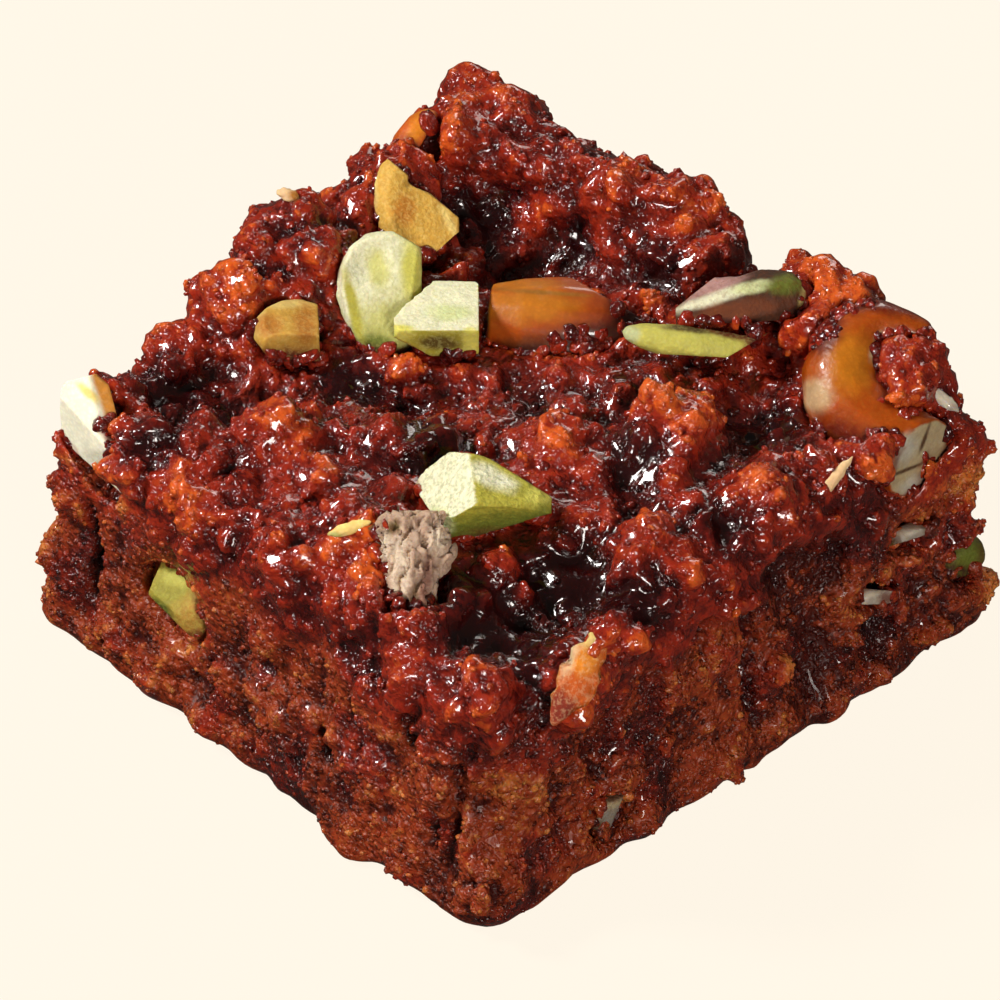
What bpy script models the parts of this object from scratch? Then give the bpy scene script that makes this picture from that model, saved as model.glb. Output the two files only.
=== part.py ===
"""A square piece of habshi halwa: a dark, grainy block of cooked-down milk and sprouted wheat, cut from a
tray, with cashews, almonds and pistachios set in it and lying on it. It stands on its flat base at Z = 0. The
two cut sides at -Y and +X are the ones that show best. Lengths in the tables are millimetres."""

import math
import random

import bmesh
import bpy
from mathutils import Euler, Matrix, Vector, noise

MM = 0.001

# The cut block: its four corners seen from above, the level of its top, how far its edges are rounded, and
# how much wider it is at its base than at its top.
CORNERS = {"left": (-22.2, -22.9), "front": (21.1, -23.8), "right": (23.3, 22.9), "back": (-23.0, 21.2)}
TOP_LEVEL = 20.4
EDGE_ROUND = 1.6
BLOCK_CUTS = 9
BASE_SUNK = 0.8
BASE_SPREAD = 1.055

# Large crags that stand on the top: centre x, y, z and radius.
CRAGS = {
    "back_peak": (-20.2, 16.6, 22.8, 4.6),
    "back_corner": (-19.6, 18.6, 22.0, 3.8),
    "back_shoulder": (-12.6, 18.6, 21.9, 4.4),
    "back_knob": (-6.4, 19.4, 22.4, 4.4),
    "notch_wall": (-1.0, 19.6, 21.3, 4.1),
    "right_knob": (10.8, 20.3, 22.8, 4.0),
    "right_ball": (18.6, 20.2, 21.5, 3.2),
    "right_lip": (22.3, 20.9, 17.2, 2.4),
    "right_flank": (23.0, 22.4, 3.2, 2.0),
    "left_flank": (-21.9, -22.4, 6.6, 1.9),
    "front_flank": (21.4, -23.6, 4.4, 2.4),
    "left_knob": (-20.4, -7.0, 22.2, 3.0),
    "left_rise": (-19.9, -1.6, 23.0, 4.2),
    "left_shoulder": (-19.6, 6.0, 21.3, 3.8),
    "left_back_knob": (-20.8, 9.2, 22.3, 3.0),
    "middle_ridge": (11.0, 4.4, 20.6, 4.0),
    "middle_knob": (5.6, -1.6, 20.0, 3.2),
    "right_ridge": (19.2, 4.4, 19.6, 3.6),
    "right_front": (18.6, -4.6, 19.6, 3.4),
    "left_ridge": (-7.2, -14.4, 20.4, 3.0),
    "left_lump": (-11.6, -18.4, 19.4, 2.6),
    "left_lip": (-6.6, -22.4, 18.6, 2.2),
    "centre_ridge": (-1.6, -9.0, 19.8, 3.6),
    "front_left_ridge": (1.6, -15.6, 19.4, 3.6),
    "front_lip_left": (12.6, -21.4, 18.0, 2.8),
    "front_lip_right": (21.4, -15.2, 18.2, 3.0),
}

# Hollows torn into the top: centre x, y, depth and radius.
HOLLOWS = {
    "behind_cashew": (-9.4, 12.6, 3.2, 5.2),
    "front_scoop": (16.6, -13.2, 3.8, 5.6),
    "left_hollow": (-12.8, -11.4, 3.0, 4.2),
    "back_notch": (3.6, 21.4, 3.4, 3.8),
    "middle_hollow": (-3.2, -3.6, 2.2, 4.0),
    "right_hollow": (13.2, 11.4, 2.6, 3.8),
    "left_edge_dip": (-18.0, -14.6, 1.6, 4.0),
}

# Small crumbs all over: how many, and the range of their radius on the top and on the cut sides.
CRUMB_SEED = 7
TOP_CRUMBS = 150
SIDE_CRUMBS = 230
TOP_CRUMB_RADIUS = (1.0, 2.1)
SIDE_CRUMB_RADIUS = (0.8, 1.6)
CRUMB_LUMPINESS = 0.34
CRUMB_SINK = (0.2, 0.9)
SIDE_CRUMB_LEVEL = 0.7
HALF_SIDE = 22.5

# Tearing of the cut sides: upright furrows, and the fine roughness that covers everything.
FURROW_DEPTH = 1.3
FURROW_WIDTH = 4.6
FURROW_HEIGHT = 16.0
FURROW_AT_BASE = 0.3
FURROW_FULL_FROM = 8.0
ROUGH_DEPTH = 0.5
ROUGH_SIZE = 2.0

CRAG_SINK = 0.15
CRAG_STRETCH = 0.9
TOP_CRUMB_STRETCH = 0.8
SIDE_CRUMB_STRETCH = 1.25
VOXEL = 0.72
HALWA_TRIANGLES = 7900
SOCKET_GAP = 0.42
SOCKET_WAY_OUT = 8
FLOOR_CUTTER = (80, 80, 20)

HALWA_COLOUR = (0.115, 0.018, 0.006)
CASHEW_GLAZED = (0.42, 0.12, 0.012)
CASHEW_CUT = (0.62, 0.36, 0.16)
ALMOND_FLESH = (0.72, 0.56, 0.36)
PISTACHIO_PALE = (0.66, 0.60, 0.25)
PISTACHIO_GREEN = (0.36, 0.33, 0.05)
PISTACHIO_GOLD = (0.55, 0.32, 0.05)
PISTACHIO_SKIN = (0.42, 0.25, 0.19)
CHIP_GREY = (0.42, 0.34, 0.27)

UP = (0, 0, 1)
FRONT_UP = (0.45, -0.45, 0.77)
LEFT_FACE = (0, -1, 0)
RIGHT_FACE = (1, 0, 0)

# Nuts. size is the whole kernel's length, width and height before it is cut. cuts are planes in the kernel's
# own frame, as a normal and its distance from the centre, and what lies beyond them is gone. flare widens
# the kernel towards one tip, and notch is a nick in one long side: where along it, how wide and how deep.
# place is the kernel's centre, turn its rotation in degrees, and out the way on which it is open to the air.
NUTS = {
    "pistachio_front": dict(
        size=(11.6, 7.0, 6.8), flare=-0.3,
        cuts=(((-0.74, -0.24, 0.62), 2.1), ((0.16, -0.1, 0.98), 2.5), ((0, 0, -1), 2.0)),
        place=(8.0, -11.2, 21.9), turn=(0, 5, 40), out=FRONT_UP, colour=PISTACHIO_PALE),
    "pistachio_skin": dict(
        size=(10.4, 5.4, 4.4), cuts=(((-1, 0, 0.35), 3.8), ((1, 0, 0), 3.6)), flare=-0.18, wrinkle=0.3,
        place=(8.5, -17.6, 20.8), turn=(0, 24, -47), out=FRONT_UP, colour=PISTACHIO_SKIN),
    "pistachio_round": dict(
        size=(9.4, 6.8, 5.8), cuts=(((0, 0, 1), 1.4), ((0.1, 0.86, 0.5), 2.4)), flare=-0.18,
        place=(-11.8, -0.5, 22.5), turn=(0, 36, -45), out=FRONT_UP, colour=PISTACHIO_PALE),
    "pistachio_block": dict(
        size=(8.2, 9.0, 8.0),
        cuts=(
            ((0, 0, 1), 1.5), ((0, -1, -0.16), 1.7), ((1, 0, 0), 2.6), ((-0.8, 0.6, 0), 2.8),
            ((0, 0, -1), 1.3),
        ),
        place=(-6.5, 0.2, 22.2), turn=(0, 0, 45), out=FRONT_UP, colour=PISTACHIO_PALE),
    "pistachio_golden": dict(
        size=(9.4, 6.4, 4.4), cuts=(((0, 0, 1), 1.2),), flare=0.2, notch=(-0.08, 0.09, 0.5),
        place=(-16.0, 6.9, 23.2), turn=(0, 34, -14), out=FRONT_UP, colour=PISTACHIO_GOLD),
    "pistachio_stub": dict(
        size=(6.2, 5.6, 5.2), cuts=(((0, 0, 1), 1.5), ((0.1, -1, 0), 1.6), ((1, 0.2, 0), 1.9)),
        place=(-14.2, -6.8, 21.2), turn=(0, 4, 42), out=FRONT_UP, colour=PISTACHIO_GOLD),
    "cashew_half": dict(
        size=(14.0, 7.0, 6.4), bend=18, cuts=(((-1, 0, 0), 5.0),),
        place=(-2.9, 7.8, 20.4), turn=(0, 4, 45), out=UP, colour=CASHEW_GLAZED),
    "pistachio_purple": dict(
        size=(10.2, 4.8, 4.4), bend=-10, cuts=(), notch=(0.04, 0.08, 0.35),
        place=(7.2, 15.7, 23.5), turn=(14, -6, 54), out=FRONT_UP, colour=PISTACHIO_SKIN),
    "pistachio_sliver": dict(
        size=(11.2, 2.9, 2.4), bend=16, cuts=(),
        place=(7.5, 11.1, 22.5), turn=(0, 5, 38), out=FRONT_UP, colour=PISTACHIO_GREEN),
    "cashew_sliver": dict(
        size=(6.2, 3.4, 3.0), bend=20, cuts=(),
        place=(-21.3, 12.4, 23.0), turn=(0, -36, 100), out=None, colour=CASHEW_GLAZED),
    "almond_wedge": dict(
        size=(12.0, 4.6, 6.4),
        cuts=(((0, 0, 1), 2.0), ((0, 0, -1), 2.6), ((1, 0, 0), 5.2), ((-0.755, 0, -0.656), 3.0)),
        place=(-18.1, -21.4, 18.3), turn=(0, 41, 0), out=None, trim=("y", -22.9), colour=ALMOND_FLESH),
    "pistachio_left_face": dict(
        size=(7.2, 5.0, 5.0), cuts=(((0, -1, 0), 2.1),),
        place=(-9.4, -22.0, 9.3), turn=(0, 36, 0), out=LEFT_FACE, colour=PISTACHIO_GREEN),
    "pistachio_right_edge": dict(
        size=(4.2, 3.8, 3.2), cuts=(((0, -1, 0), 1.3),),
        place=(22.6, 21.9, 6.0), turn=(0, 10, 80), out=RIGHT_FACE, colour=PISTACHIO_GREEN),
    "almond_chip_upper": dict(
        size=(5.6, 4.4, 3.0),
        cuts=(((1, 0, 0), 2.1), ((-1, 0, 0), 2.0), ((0, -1, 0), 1.3), ((0, 0, 1), 1.1), ((0, 0, -1), 1.0)),
        place=(22.6, 16.2, 11.4), turn=(0, 22, 90), out=RIGHT_FACE, colour=CHIP_GREY),
    "almond_chip_lower": dict(
        size=(4.8, 4.0, 1.8), cuts=(((0, -1, 0), 1.2),),
        place=(22.8, 12.4, 8.6), turn=(0, 25, 90), out=RIGHT_FACE, colour=CHIP_GREY),
    "cashew_chip_low": dict(
        size=(4.8, 3.8, 3.6), cuts=(((0, -1, 0), 1.0), ((0.8, 0, 0.6), 1.1)),
        place=(21.6, -12.4, 3.9), turn=(0, -40, 90), out=RIGHT_FACE, colour=CASHEW_CUT),
}

# The curled cashew: its centre line from the tip that arches over a lump of halwa to the end that the tray
# cut went through, with the kernel's radius at each place, and the plane of that cut.
CURL_NAME = "cashew_curl"
CURL_LINE = (
    (18.4, 22.4, 23.2), (15.2, 20.0, 23.6), (15.6, 16.6, 21.6), (18.8, 15.6, 19.4), (24.4, 17.4, 17.8),
)
CURL_RADII = (1.0, 2.0, 2.7, 3.1, 3.1)
CURL_STEPS = 10
CURL_CUT_X = 23.1
CURL_TIP = 0.6
CURL_LOOK_AHEAD = 0.02

# Nuts that lie against each other. The first is cut back where it would meet the second.
TOUCHING = (
    ("pistachio_block", "pistachio_round"),
    ("cashew_half", "pistachio_block"),
    ("pistachio_skin", "pistachio_front"),
    ("pistachio_golden", "pistachio_round"),
    ("pistachio_sliver", "pistachio_purple"),
)
NUT_SEGMENTS = 12
NUT_RINGS = 8
NUT_UNEVEN = 0.05
SHARP_ANGLE = math.radians(36)

# Thin slivers stuck to the halwa: place, rotation and size.
SLIVERS = {
    "pale": ((4.0, -18.4, 21.2), (0, -8, 62), (3.6, 0.9, 0.8)),
    "peach": ((22.0, 9.9, 20.9), (0, -24, 90), (4.2, 0.9, 0.9)),
    "white": ((22.6, 19.4, 21.6), (0, 40, 90), (2.8, 1.1, 1.1)),
    "cream": ((-20.6, 0.6, 26.0), (0, 0, 50), (1.9, 1.3, 1.1)),
    "crust": ((23.3, -16.0, 19.5), (0, -58, 90), (7.6, 1.8, 3.2)),
}


def metres(values):
    return Vector(values) * MM


def clear_scene():
    for item in list(bpy.data.objects):
        bpy.data.objects.remove(item, do_unlink=True)


def new_collection(name, hidden=False):
    made = bpy.data.collections.new(name)
    bpy.context.scene.collection.children.link(made)
    made.hide_render = hidden
    return made


def new_object(name, mesh, collection):
    made = bpy.data.objects.new(name, mesh)
    collection.objects.link(made)
    return made


def mesh_from(bm, name):
    mesh = bpy.data.meshes.new(name)
    bm.normal_update()
    bm.to_mesh(mesh)
    bm.free()
    return mesh


def material(name, colour, roughness):
    made = bpy.data.materials.new(name)
    made.use_nodes = True
    shader = made.node_tree.nodes["Principled BSDF"]
    shader.inputs["Base Color"].default_value = (*colour, 1)
    shader.inputs["Roughness"].default_value = roughness
    shader.inputs["Metallic"].default_value = 0
    return made


def evaluated_mesh(item):
    """The object's mesh with its modifiers applied."""
    bpy.context.view_layer.update()
    graph = bpy.context.evaluated_depsgraph_get()
    return bpy.data.meshes.new_from_object(item.evaluated_get(graph)).copy()


def block():
    """The cut block with rounded edges: a cube whose corners are moved to those of the cut piece."""
    bm = bmesh.new()
    bmesh.ops.create_cube(bm, size=2)
    names = {(-1, -1): "left", (1, -1): "front", (1, 1): "right", (-1, 1): "back"}
    for vertex in bm.verts:
        x, y, z = vertex.co
        corner = CORNERS[names[(round(x), round(y))]]
        level, spread = (TOP_LEVEL, 1) if z > 0 else (-EDGE_ROUND * BASE_SUNK, BASE_SPREAD)
        vertex.co = metres((corner[0] * spread, corner[1] * spread, level))
    bmesh.ops.bevel(
        bm, geom=list(bm.edges), offset=EDGE_ROUND * MM, segments=3, affect="EDGES", clamp_overlap=True
    )
    long_edges = [edge for edge in bm.edges if edge.calc_length() > 2 * EDGE_ROUND * MM]
    bmesh.ops.subdivide_edges(bm, edges=long_edges, cuts=BLOCK_CUTS, use_grid_fill=True)
    return bm


def hollow_depth(x, y):
    """How far the top is sunk at this place, in millimetres."""
    return sum(
        depth * math.exp(-((x - cx) ** 2 + (y - cy) ** 2) / radius**2)
        for cx, cy, depth, radius in HOLLOWS.values()
    )


def furrow(point):
    """Upright tears of the cut sides: noise that runs slowly along Z and quickly across it."""
    stretched = Vector((point.x / FURROW_WIDTH, point.y / FURROW_WIDTH, point.z / FURROW_HEIGHT)) / MM
    return noise.fractal(stretched, 1.0, 2.0, 3)


def roughness_at(point):
    return noise.fractal(point / (ROUGH_SIZE * MM), 1.0, 2.1, 3)


def shape_block(bm):
    bm.normal_update()
    moved = {}
    for vertex in bm.verts:
        share = max(0.0, min(1.0, vertex.co.z / (TOP_LEVEL * MM)))
        outward = Vector((vertex.normal.x, vertex.normal.y, 0))
        sink = hollow_depth(vertex.co.x / MM, vertex.co.y / MM) * share**3
        off_base = min(1, max(0, vertex.co.z / (FURROW_FULL_FROM * MM)))
        depth = FURROW_DEPTH * (FURROW_AT_BASE + (1 - FURROW_AT_BASE) * off_base)
        torn = outward * furrow(vertex.co) * depth * MM
        moved[vertex] = vertex.co + torn - Vector((0, 0, sink * MM))
    for vertex, place in moved.items():
        vertex.co = place


def add_lump(bm, place, radius, stretch, draws, fineness):
    """One crumb: a small ball with an uneven skin, stretched along Z."""
    made = bmesh.ops.create_icosphere(bm, subdivisions=fineness, radius=radius * MM)["verts"]
    shift = Vector((draws.uniform(-50, 50) for _ in range(3)))
    spin = Euler([draws.uniform(0, math.tau) for _ in range(3)]).to_matrix()
    for vertex in made:
        way = vertex.co.normalized()
        swell = 1 + CRUMB_LUMPINESS * noise.fractal(way * 1.3 + shift, 1.0, 2.0, 2)
        turned = spin @ (vertex.co * swell)
        vertex.co = Vector((turned.x, turned.y, turned.z * stretch)) + metres(place)


def add_crags(bm, draws):
    for x, y, z, radius in CRAGS.values():
        add_lump(bm, (x, y, z - radius * CRAG_SINK), radius, CRAG_STRETCH, draws, 3)


def point_on_top(draws):
    x, y = (draws.uniform(CORNERS["left"][i] + 1, CORNERS["right"][i] - 1) for i in range(2))
    return x, y, TOP_LEVEL - hollow_depth(x, y) - draws.uniform(*CRUMB_SINK)


def point_on_side(draws):
    names = list(CORNERS)
    start = draws.randrange(4)
    ends = [CORNERS[names[start]], CORNERS[names[(start + 1) % 4]]]
    along = draws.random()
    x, y = (ends[0][i] * (1 - along) + ends[1][i] * along for i in range(2))
    z = draws.uniform(SIDE_CRUMB_LEVEL, TOP_LEVEL - SIDE_CRUMB_LEVEL)
    spread = 1 + (BASE_SPREAD - 1) * (1 - z / TOP_LEVEL)
    scale = spread - draws.uniform(*CRUMB_SINK) / HALF_SIDE
    return x * scale, y * scale, z


def add_crumbs(bm, draws):
    for _ in range(TOP_CRUMBS):
        add_lump(bm, point_on_top(draws), draws.uniform(*TOP_CRUMB_RADIUS), TOP_CRUMB_STRETCH, draws, 2)
    for _ in range(SIDE_CRUMBS):
        add_lump(bm, point_on_side(draws), draws.uniform(*SIDE_CRUMB_RADIUS), SIDE_CRUMB_STRETCH, draws, 2)


def fuse(item, triangles):
    """Joins everything in the mesh to one skin, roughens it, and thins it out to the number of triangles."""
    remesh = item.modifiers.new("fuse", "REMESH")
    remesh.mode = "VOXEL"
    remesh.voxel_size = VOXEL * MM
    smooth = item.modifiers.new("soften", "SMOOTH")
    smooth.factor = 0.5
    smooth.iterations = 1
    skin = evaluated_mesh(item)
    item.modifiers.clear()
    item.data = skin
    item.data.update()
    normals = [vertex.normal.copy() for vertex in skin.vertices]
    for vertex, normal in zip(skin.vertices, normals):
        vertex.co += normal * roughness_at(vertex.co) * ROUGH_DEPTH * MM
    thin = item.modifiers.new("thin out", "DECIMATE")
    thin.ratio = triangles / sum(len(face.vertices) - 2 for face in skin.polygons)
    thin.use_collapse_triangulate = True
    item.data = evaluated_mesh(item)
    item.modifiers.clear()


def floor_cutter(collection):
    """Everything below the table, so that the base comes out flat."""
    bm = bmesh.new()
    lowered = Matrix.Translation(metres((0, 0, -FLOOR_CUTTER[2] / 2)))
    bmesh.ops.create_cube(bm, size=1, matrix=lowered @ Matrix.Diagonal((*metres(FLOOR_CUTTER), 1)))
    new_object("floor_cutter", mesh_from(bm, "floor_cutter"), collection)


def bend_kernel(bm, length, degrees):
    """Curls the kernel in its own XY plane, so that its length lies along an arc."""
    if not degrees:
        return
    angle = math.radians(degrees)
    radius = length / angle
    for vertex in bm.verts:
        turn = vertex.co.x / length * angle
        reach = radius - vertex.co.y
        vertex.co.x = math.sin(turn) * reach
        vertex.co.y = radius - math.cos(turn) * reach


def slice_mesh(bm, normal, distance):
    """Cuts off what lies beyond a plane, and closes the cut with one flat face."""
    plane = Vector(normal).normalized()
    parts = list(bm.verts) + list(bm.edges) + list(bm.faces)
    bmesh.ops.bisect_plane(bm, geom=parts, plane_co=plane * distance * MM, plane_no=plane, clear_outer=True)
    bmesh.ops.contextual_create(bm, geom=[edge for edge in bm.edges if edge.is_boundary])


def finished_kernel(bm, name):
    bmesh.ops.triangulate(bm, faces=bm.faces)
    bmesh.ops.recalc_face_normals(bm, faces=bm.faces)
    return mesh_from(bm, name)


def kernel_mesh(name, spec):
    """A nut kernel in the frame of the whole piece."""
    bm = bmesh.new()
    bmesh.ops.create_uvsphere(bm, u_segments=NUT_SEGMENTS, v_segments=NUT_RINGS, radius=0.5)
    length, width, height = (value * MM for value in spec["size"])
    shift = Vector((len(name), spec["size"][0], spec["size"][1]))
    wrinkle = spec.get("wrinkle", NUT_UNEVEN)
    notch_at, notch_width, notch_depth = spec.get("notch", (0, 1, 0))
    # The sphere's poles go to the kernel's two tips.
    bmesh.ops.rotate(bm, verts=bm.verts, matrix=Matrix.Rotation(math.pi / 2, 3, "Y"))
    for vertex in bm.verts:
        x, y, z = vertex.co
        swell = 1 + wrinkle * noise.fractal(vertex.co * 3.2 + shift, 1.0, 2.0, 3)
        swell *= 1 + 2 * spec.get("flare", 0) * x
        nick = notch_depth * math.exp(-((x - notch_at) / notch_width) ** 2) if y > 0 else 0
        vertex.co = Vector((x * length, y * width * swell * (1 - nick), z * height * swell))
    for normal, distance in spec["cuts"]:
        slice_mesh(bm, normal, distance)
    bend_kernel(bm, length, spec.get("bend", 0))
    spin = Euler([math.radians(value) for value in spec["turn"]]).to_matrix().to_4x4()
    bm.transform(Matrix.Translation(metres(spec["place"])) @ spin)
    if "trim" in spec:
        axis, value = spec["trim"]
        slice_mesh(bm, Vector((axis == "x", axis == "y", 0)) * math.copysign(1, value), abs(value))
    return finished_kernel(bm, name)


def along(points, share):
    """A point on the smooth curve through the points (Catmull-Rom), with share running from 0 to 1."""
    spot = share * (len(points) - 1)
    start = min(int(spot), len(points) - 2)
    step = spot - start
    near = [points[min(max(start + shift, 0), len(points) - 1)] for shift in (-1, 0, 1, 2)]
    weights = (
        -0.5 * step + step**2 - 0.5 * step**3,
        1 - 2.5 * step**2 + 1.5 * step**3,
        0.5 * step + 2 * step**2 - 1.5 * step**3,
        -0.5 * step**2 + 0.5 * step**3,
    )
    return sum((Vector(point) * weight for point, weight in zip(near, weights)), Vector((0,) * len(near[0])))


def curl_mesh(name):
    """The curled cashew: rings round its centre line, closed by a point at either end, then cut flat."""
    bm = bmesh.new()
    stations = [(*point, radius) for point, radius in zip(CURL_LINE, CURL_RADII)]
    rings = []
    for step in range(CURL_STEPS + 1):
        share = step / CURL_STEPS
        here = along(stations, share)
        ahead = along(stations, min(share + CURL_LOOK_AHEAD, 1))
        behind = along(stations, max(share - CURL_LOOK_AHEAD, 0))
        way = Vector((ahead - behind)[:3]).normalized()
        side = way.cross(Vector((0, 0, 1))).normalized()
        over = side.cross(way)
        ring = []
        for segment in range(NUT_SEGMENTS):
            angle = math.tau * segment / NUT_SEGMENTS
            reach = here[3] * (math.cos(angle) * side + math.sin(angle) * over)
            ring.append(bm.verts.new(metres(Vector(here[:3]) + reach)))
        rings.append(ring)
    for ring, after in zip(rings, rings[1:]):
        for segment in range(NUT_SEGMENTS):
            turn = (segment + 1) % NUT_SEGMENTS
            bm.faces.new((ring[segment], ring[turn], after[turn], after[segment]))
    for ring, inner in ((rings[0], rings[1]), (rings[-1], rings[-2])):
        middle = sum((vertex.co for vertex in ring), Vector()) / NUT_SEGMENTS
        inward = sum((vertex.co for vertex in inner), Vector()) / NUT_SEGMENTS
        tip = bm.verts.new(middle + (middle - inward).normalized() * (ring[0].co - middle).length * CURL_TIP)
        for segment in range(NUT_SEGMENTS):
            bm.faces.new((ring[segment], ring[(segment + 1) % NUT_SEGMENTS], tip))
    bmesh.ops.recalc_face_normals(bm, faces=bm.faces)
    slice_mesh(bm, (1, 0, 0), CURL_CUT_X)
    return finished_kernel(bm, name)


def socket_cutter(nut, way_out, collection):
    """What the halwa leaves free for a nut: the nut swollen by the gap and, where it shows, its way out."""
    bm = bmesh.new()
    bm.from_mesh(nut.data)
    bm.normal_update()
    for vertex, normal in [(vertex, vertex.normal.copy()) for vertex in bm.verts]:
        vertex.co += normal * SOCKET_GAP * MM
    if way_out:
        copied = bmesh.ops.duplicate(bm, geom=list(bm.verts))["geom"]
        shifted = [part for part in copied if isinstance(part, bmesh.types.BMVert)]
        bmesh.ops.translate(bm, verts=shifted, vec=Vector(way_out).normalized() * SOCKET_WAY_OUT * MM)
        points = [vertex.co.copy() for vertex in bm.verts]
        bm.free()
        bm = bmesh.new()
        for point in points:
            bm.verts.new(point)
        hull = bmesh.ops.convex_hull(bm, input=bm.verts)
        inside = hull["geom_interior"] + hull["geom_unused"]
        spare = {part for part in inside if isinstance(part, bmesh.types.BMVert)}
        bmesh.ops.delete(bm, geom=list(spare), context="VERTS")
        bmesh.ops.triangulate(bm, faces=bm.faces)
        bmesh.ops.recalc_face_normals(bm, faces=bm.faces)
    return new_object(nut.name + "_socket", mesh_from(bm, nut.name + "_socket"), collection)


def sliver_mesh(name, place, turn, size):
    """A thin splinter of nut with tapered ends."""
    bm = bmesh.new()
    bmesh.ops.create_cone(bm, cap_ends=True, segments=6, radius1=0.5, radius2=0.22, depth=1)
    spin = Euler([math.radians(value) for value in turn]).to_matrix().to_4x4()
    lying = Matrix.Rotation(math.pi / 2, 4, "Y")
    bm.transform(Matrix.Translation(metres(place)) @ spin @ Matrix.Diagonal((*metres(size), 1)) @ lying)
    return mesh_from(bm, name)


def apply_boolean(item, operation, collection):
    cut = item.modifiers.new(operation.lower(), "BOOLEAN")
    cut.operand_type = "COLLECTION"
    cut.collection = collection
    cut.operation = operation
    cut.solver = "EXACT"
    item.data = evaluated_mesh(item)
    item.modifiers.clear()


def make_room(item, other):
    """Cuts a nut back where it would meet its neighbour, with the same gap as in a socket."""
    room = new_collection("room", hidden=True)
    blocker = socket_cutter(other, None, room)
    apply_boolean(item, "DIFFERENCE", room)
    keep_largest_body(item.data)
    bpy.data.objects.remove(blocker, do_unlink=True)
    bpy.data.collections.remove(room)


def keep_largest_body(mesh):
    """Drops loose scraps that the sockets cut free."""
    bm = bmesh.new()
    bm.from_mesh(mesh)
    seen, bodies = set(), []
    for start in bm.verts:
        if start in seen:
            continue
        body, edge_of_search = {start}, [start]
        while edge_of_search:
            for edge in edge_of_search.pop().link_edges:
                for vertex in edge.verts:
                    if vertex not in body:
                        body.add(vertex)
                        edge_of_search.append(vertex)
        seen |= body
        bodies.append(body)
    largest = max(bodies, key=len)
    bmesh.ops.delete(bm, geom=[vertex for vertex in bm.verts if vertex not in largest], context="VERTS")
    bmesh.ops.triangulate(bm, faces=bm.faces)
    bm.to_mesh(mesh)
    bm.free()


def centre_on_base(items):
    """Moves the whole piece sideways, so that the origin is below the middle of its bounding box."""
    points = [vertex.co for item in items for vertex in item.data.vertices]
    middle = [(min(point[i] for point in points) + max(point[i] for point in points)) / 2 for i in range(2)]
    for item in items:
        item.data.transform(Matrix.Translation((-middle[0], -middle[1], 0)))


def build():
    clear_scene()
    piece = new_collection("habshi_halwa")
    cutters = new_collection("cutters", hidden=True)
    slivers = new_collection("slivers", hidden=True)

    nuts = {}
    for name, spec in NUTS.items():
        nuts[name] = new_object(name, kernel_mesh(name, spec), piece)
        nuts[name].data.materials.append(material(name, spec["colour"], 0.5))
    nuts[CURL_NAME] = new_object(CURL_NAME, curl_mesh(CURL_NAME), piece)
    nuts[CURL_NAME].data.materials.append(material(CURL_NAME, CASHEW_GLAZED, 0.25))
    for cut_back, against in TOUCHING:
        make_room(nuts[cut_back], nuts[against])
    for name, nut in nuts.items():
        socket_cutter(nut, NUTS[name]["out"] if name in NUTS else None, cutters)
    floor_cutter(cutters)

    draws = random.Random(CRUMB_SEED)
    bm = block()
    shape_block(bm)
    add_crags(bm, draws)
    add_crumbs(bm, draws)
    halwa = new_object("halwa", mesh_from(bm, "halwa"), piece)
    fuse(halwa, HALWA_TRIANGLES)
    for name, (place, turn, size) in SLIVERS.items():
        new_object(name, sliver_mesh(name, place, turn, size), slivers)
    apply_boolean(halwa, "UNION", slivers)
    apply_boolean(halwa, "DIFFERENCE", cutters)
    keep_largest_body(halwa.data)
    halwa.data.materials.clear()
    halwa.data.materials.append(material("halwa", HALWA_COLOUR, 0.35))
    for helper in list(slivers.objects):
        bpy.data.objects.remove(helper, do_unlink=True)
    centre_on_base([halwa, *nuts.values()])
    for item in [halwa, *nuts.values()]:
        item.data.shade_smooth()
        if item is not halwa:
            item.data.set_sharp_from_angle(angle=SHARP_ANGLE)


build()
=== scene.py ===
"""A cut square of habshi halwa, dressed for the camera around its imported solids. Lengths in the code are
metres, written as a number of millimetres times MM."""

import math

import bmesh
import bpy
import numpy as np
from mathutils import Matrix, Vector, noise
from mathutils.bvhtree import BVHTree


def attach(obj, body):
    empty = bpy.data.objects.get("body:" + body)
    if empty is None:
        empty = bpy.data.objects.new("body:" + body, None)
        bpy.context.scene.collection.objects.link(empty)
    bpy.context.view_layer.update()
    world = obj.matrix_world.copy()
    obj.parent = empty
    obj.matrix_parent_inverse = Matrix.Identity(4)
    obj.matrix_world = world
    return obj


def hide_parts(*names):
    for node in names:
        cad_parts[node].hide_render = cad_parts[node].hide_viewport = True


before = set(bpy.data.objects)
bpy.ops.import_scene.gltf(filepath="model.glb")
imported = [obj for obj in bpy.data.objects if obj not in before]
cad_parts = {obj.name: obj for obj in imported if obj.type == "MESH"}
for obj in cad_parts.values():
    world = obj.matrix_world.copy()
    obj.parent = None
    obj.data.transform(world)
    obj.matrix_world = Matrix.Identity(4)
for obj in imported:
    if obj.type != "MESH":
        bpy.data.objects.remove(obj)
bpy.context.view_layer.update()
MM = 0.001

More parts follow.
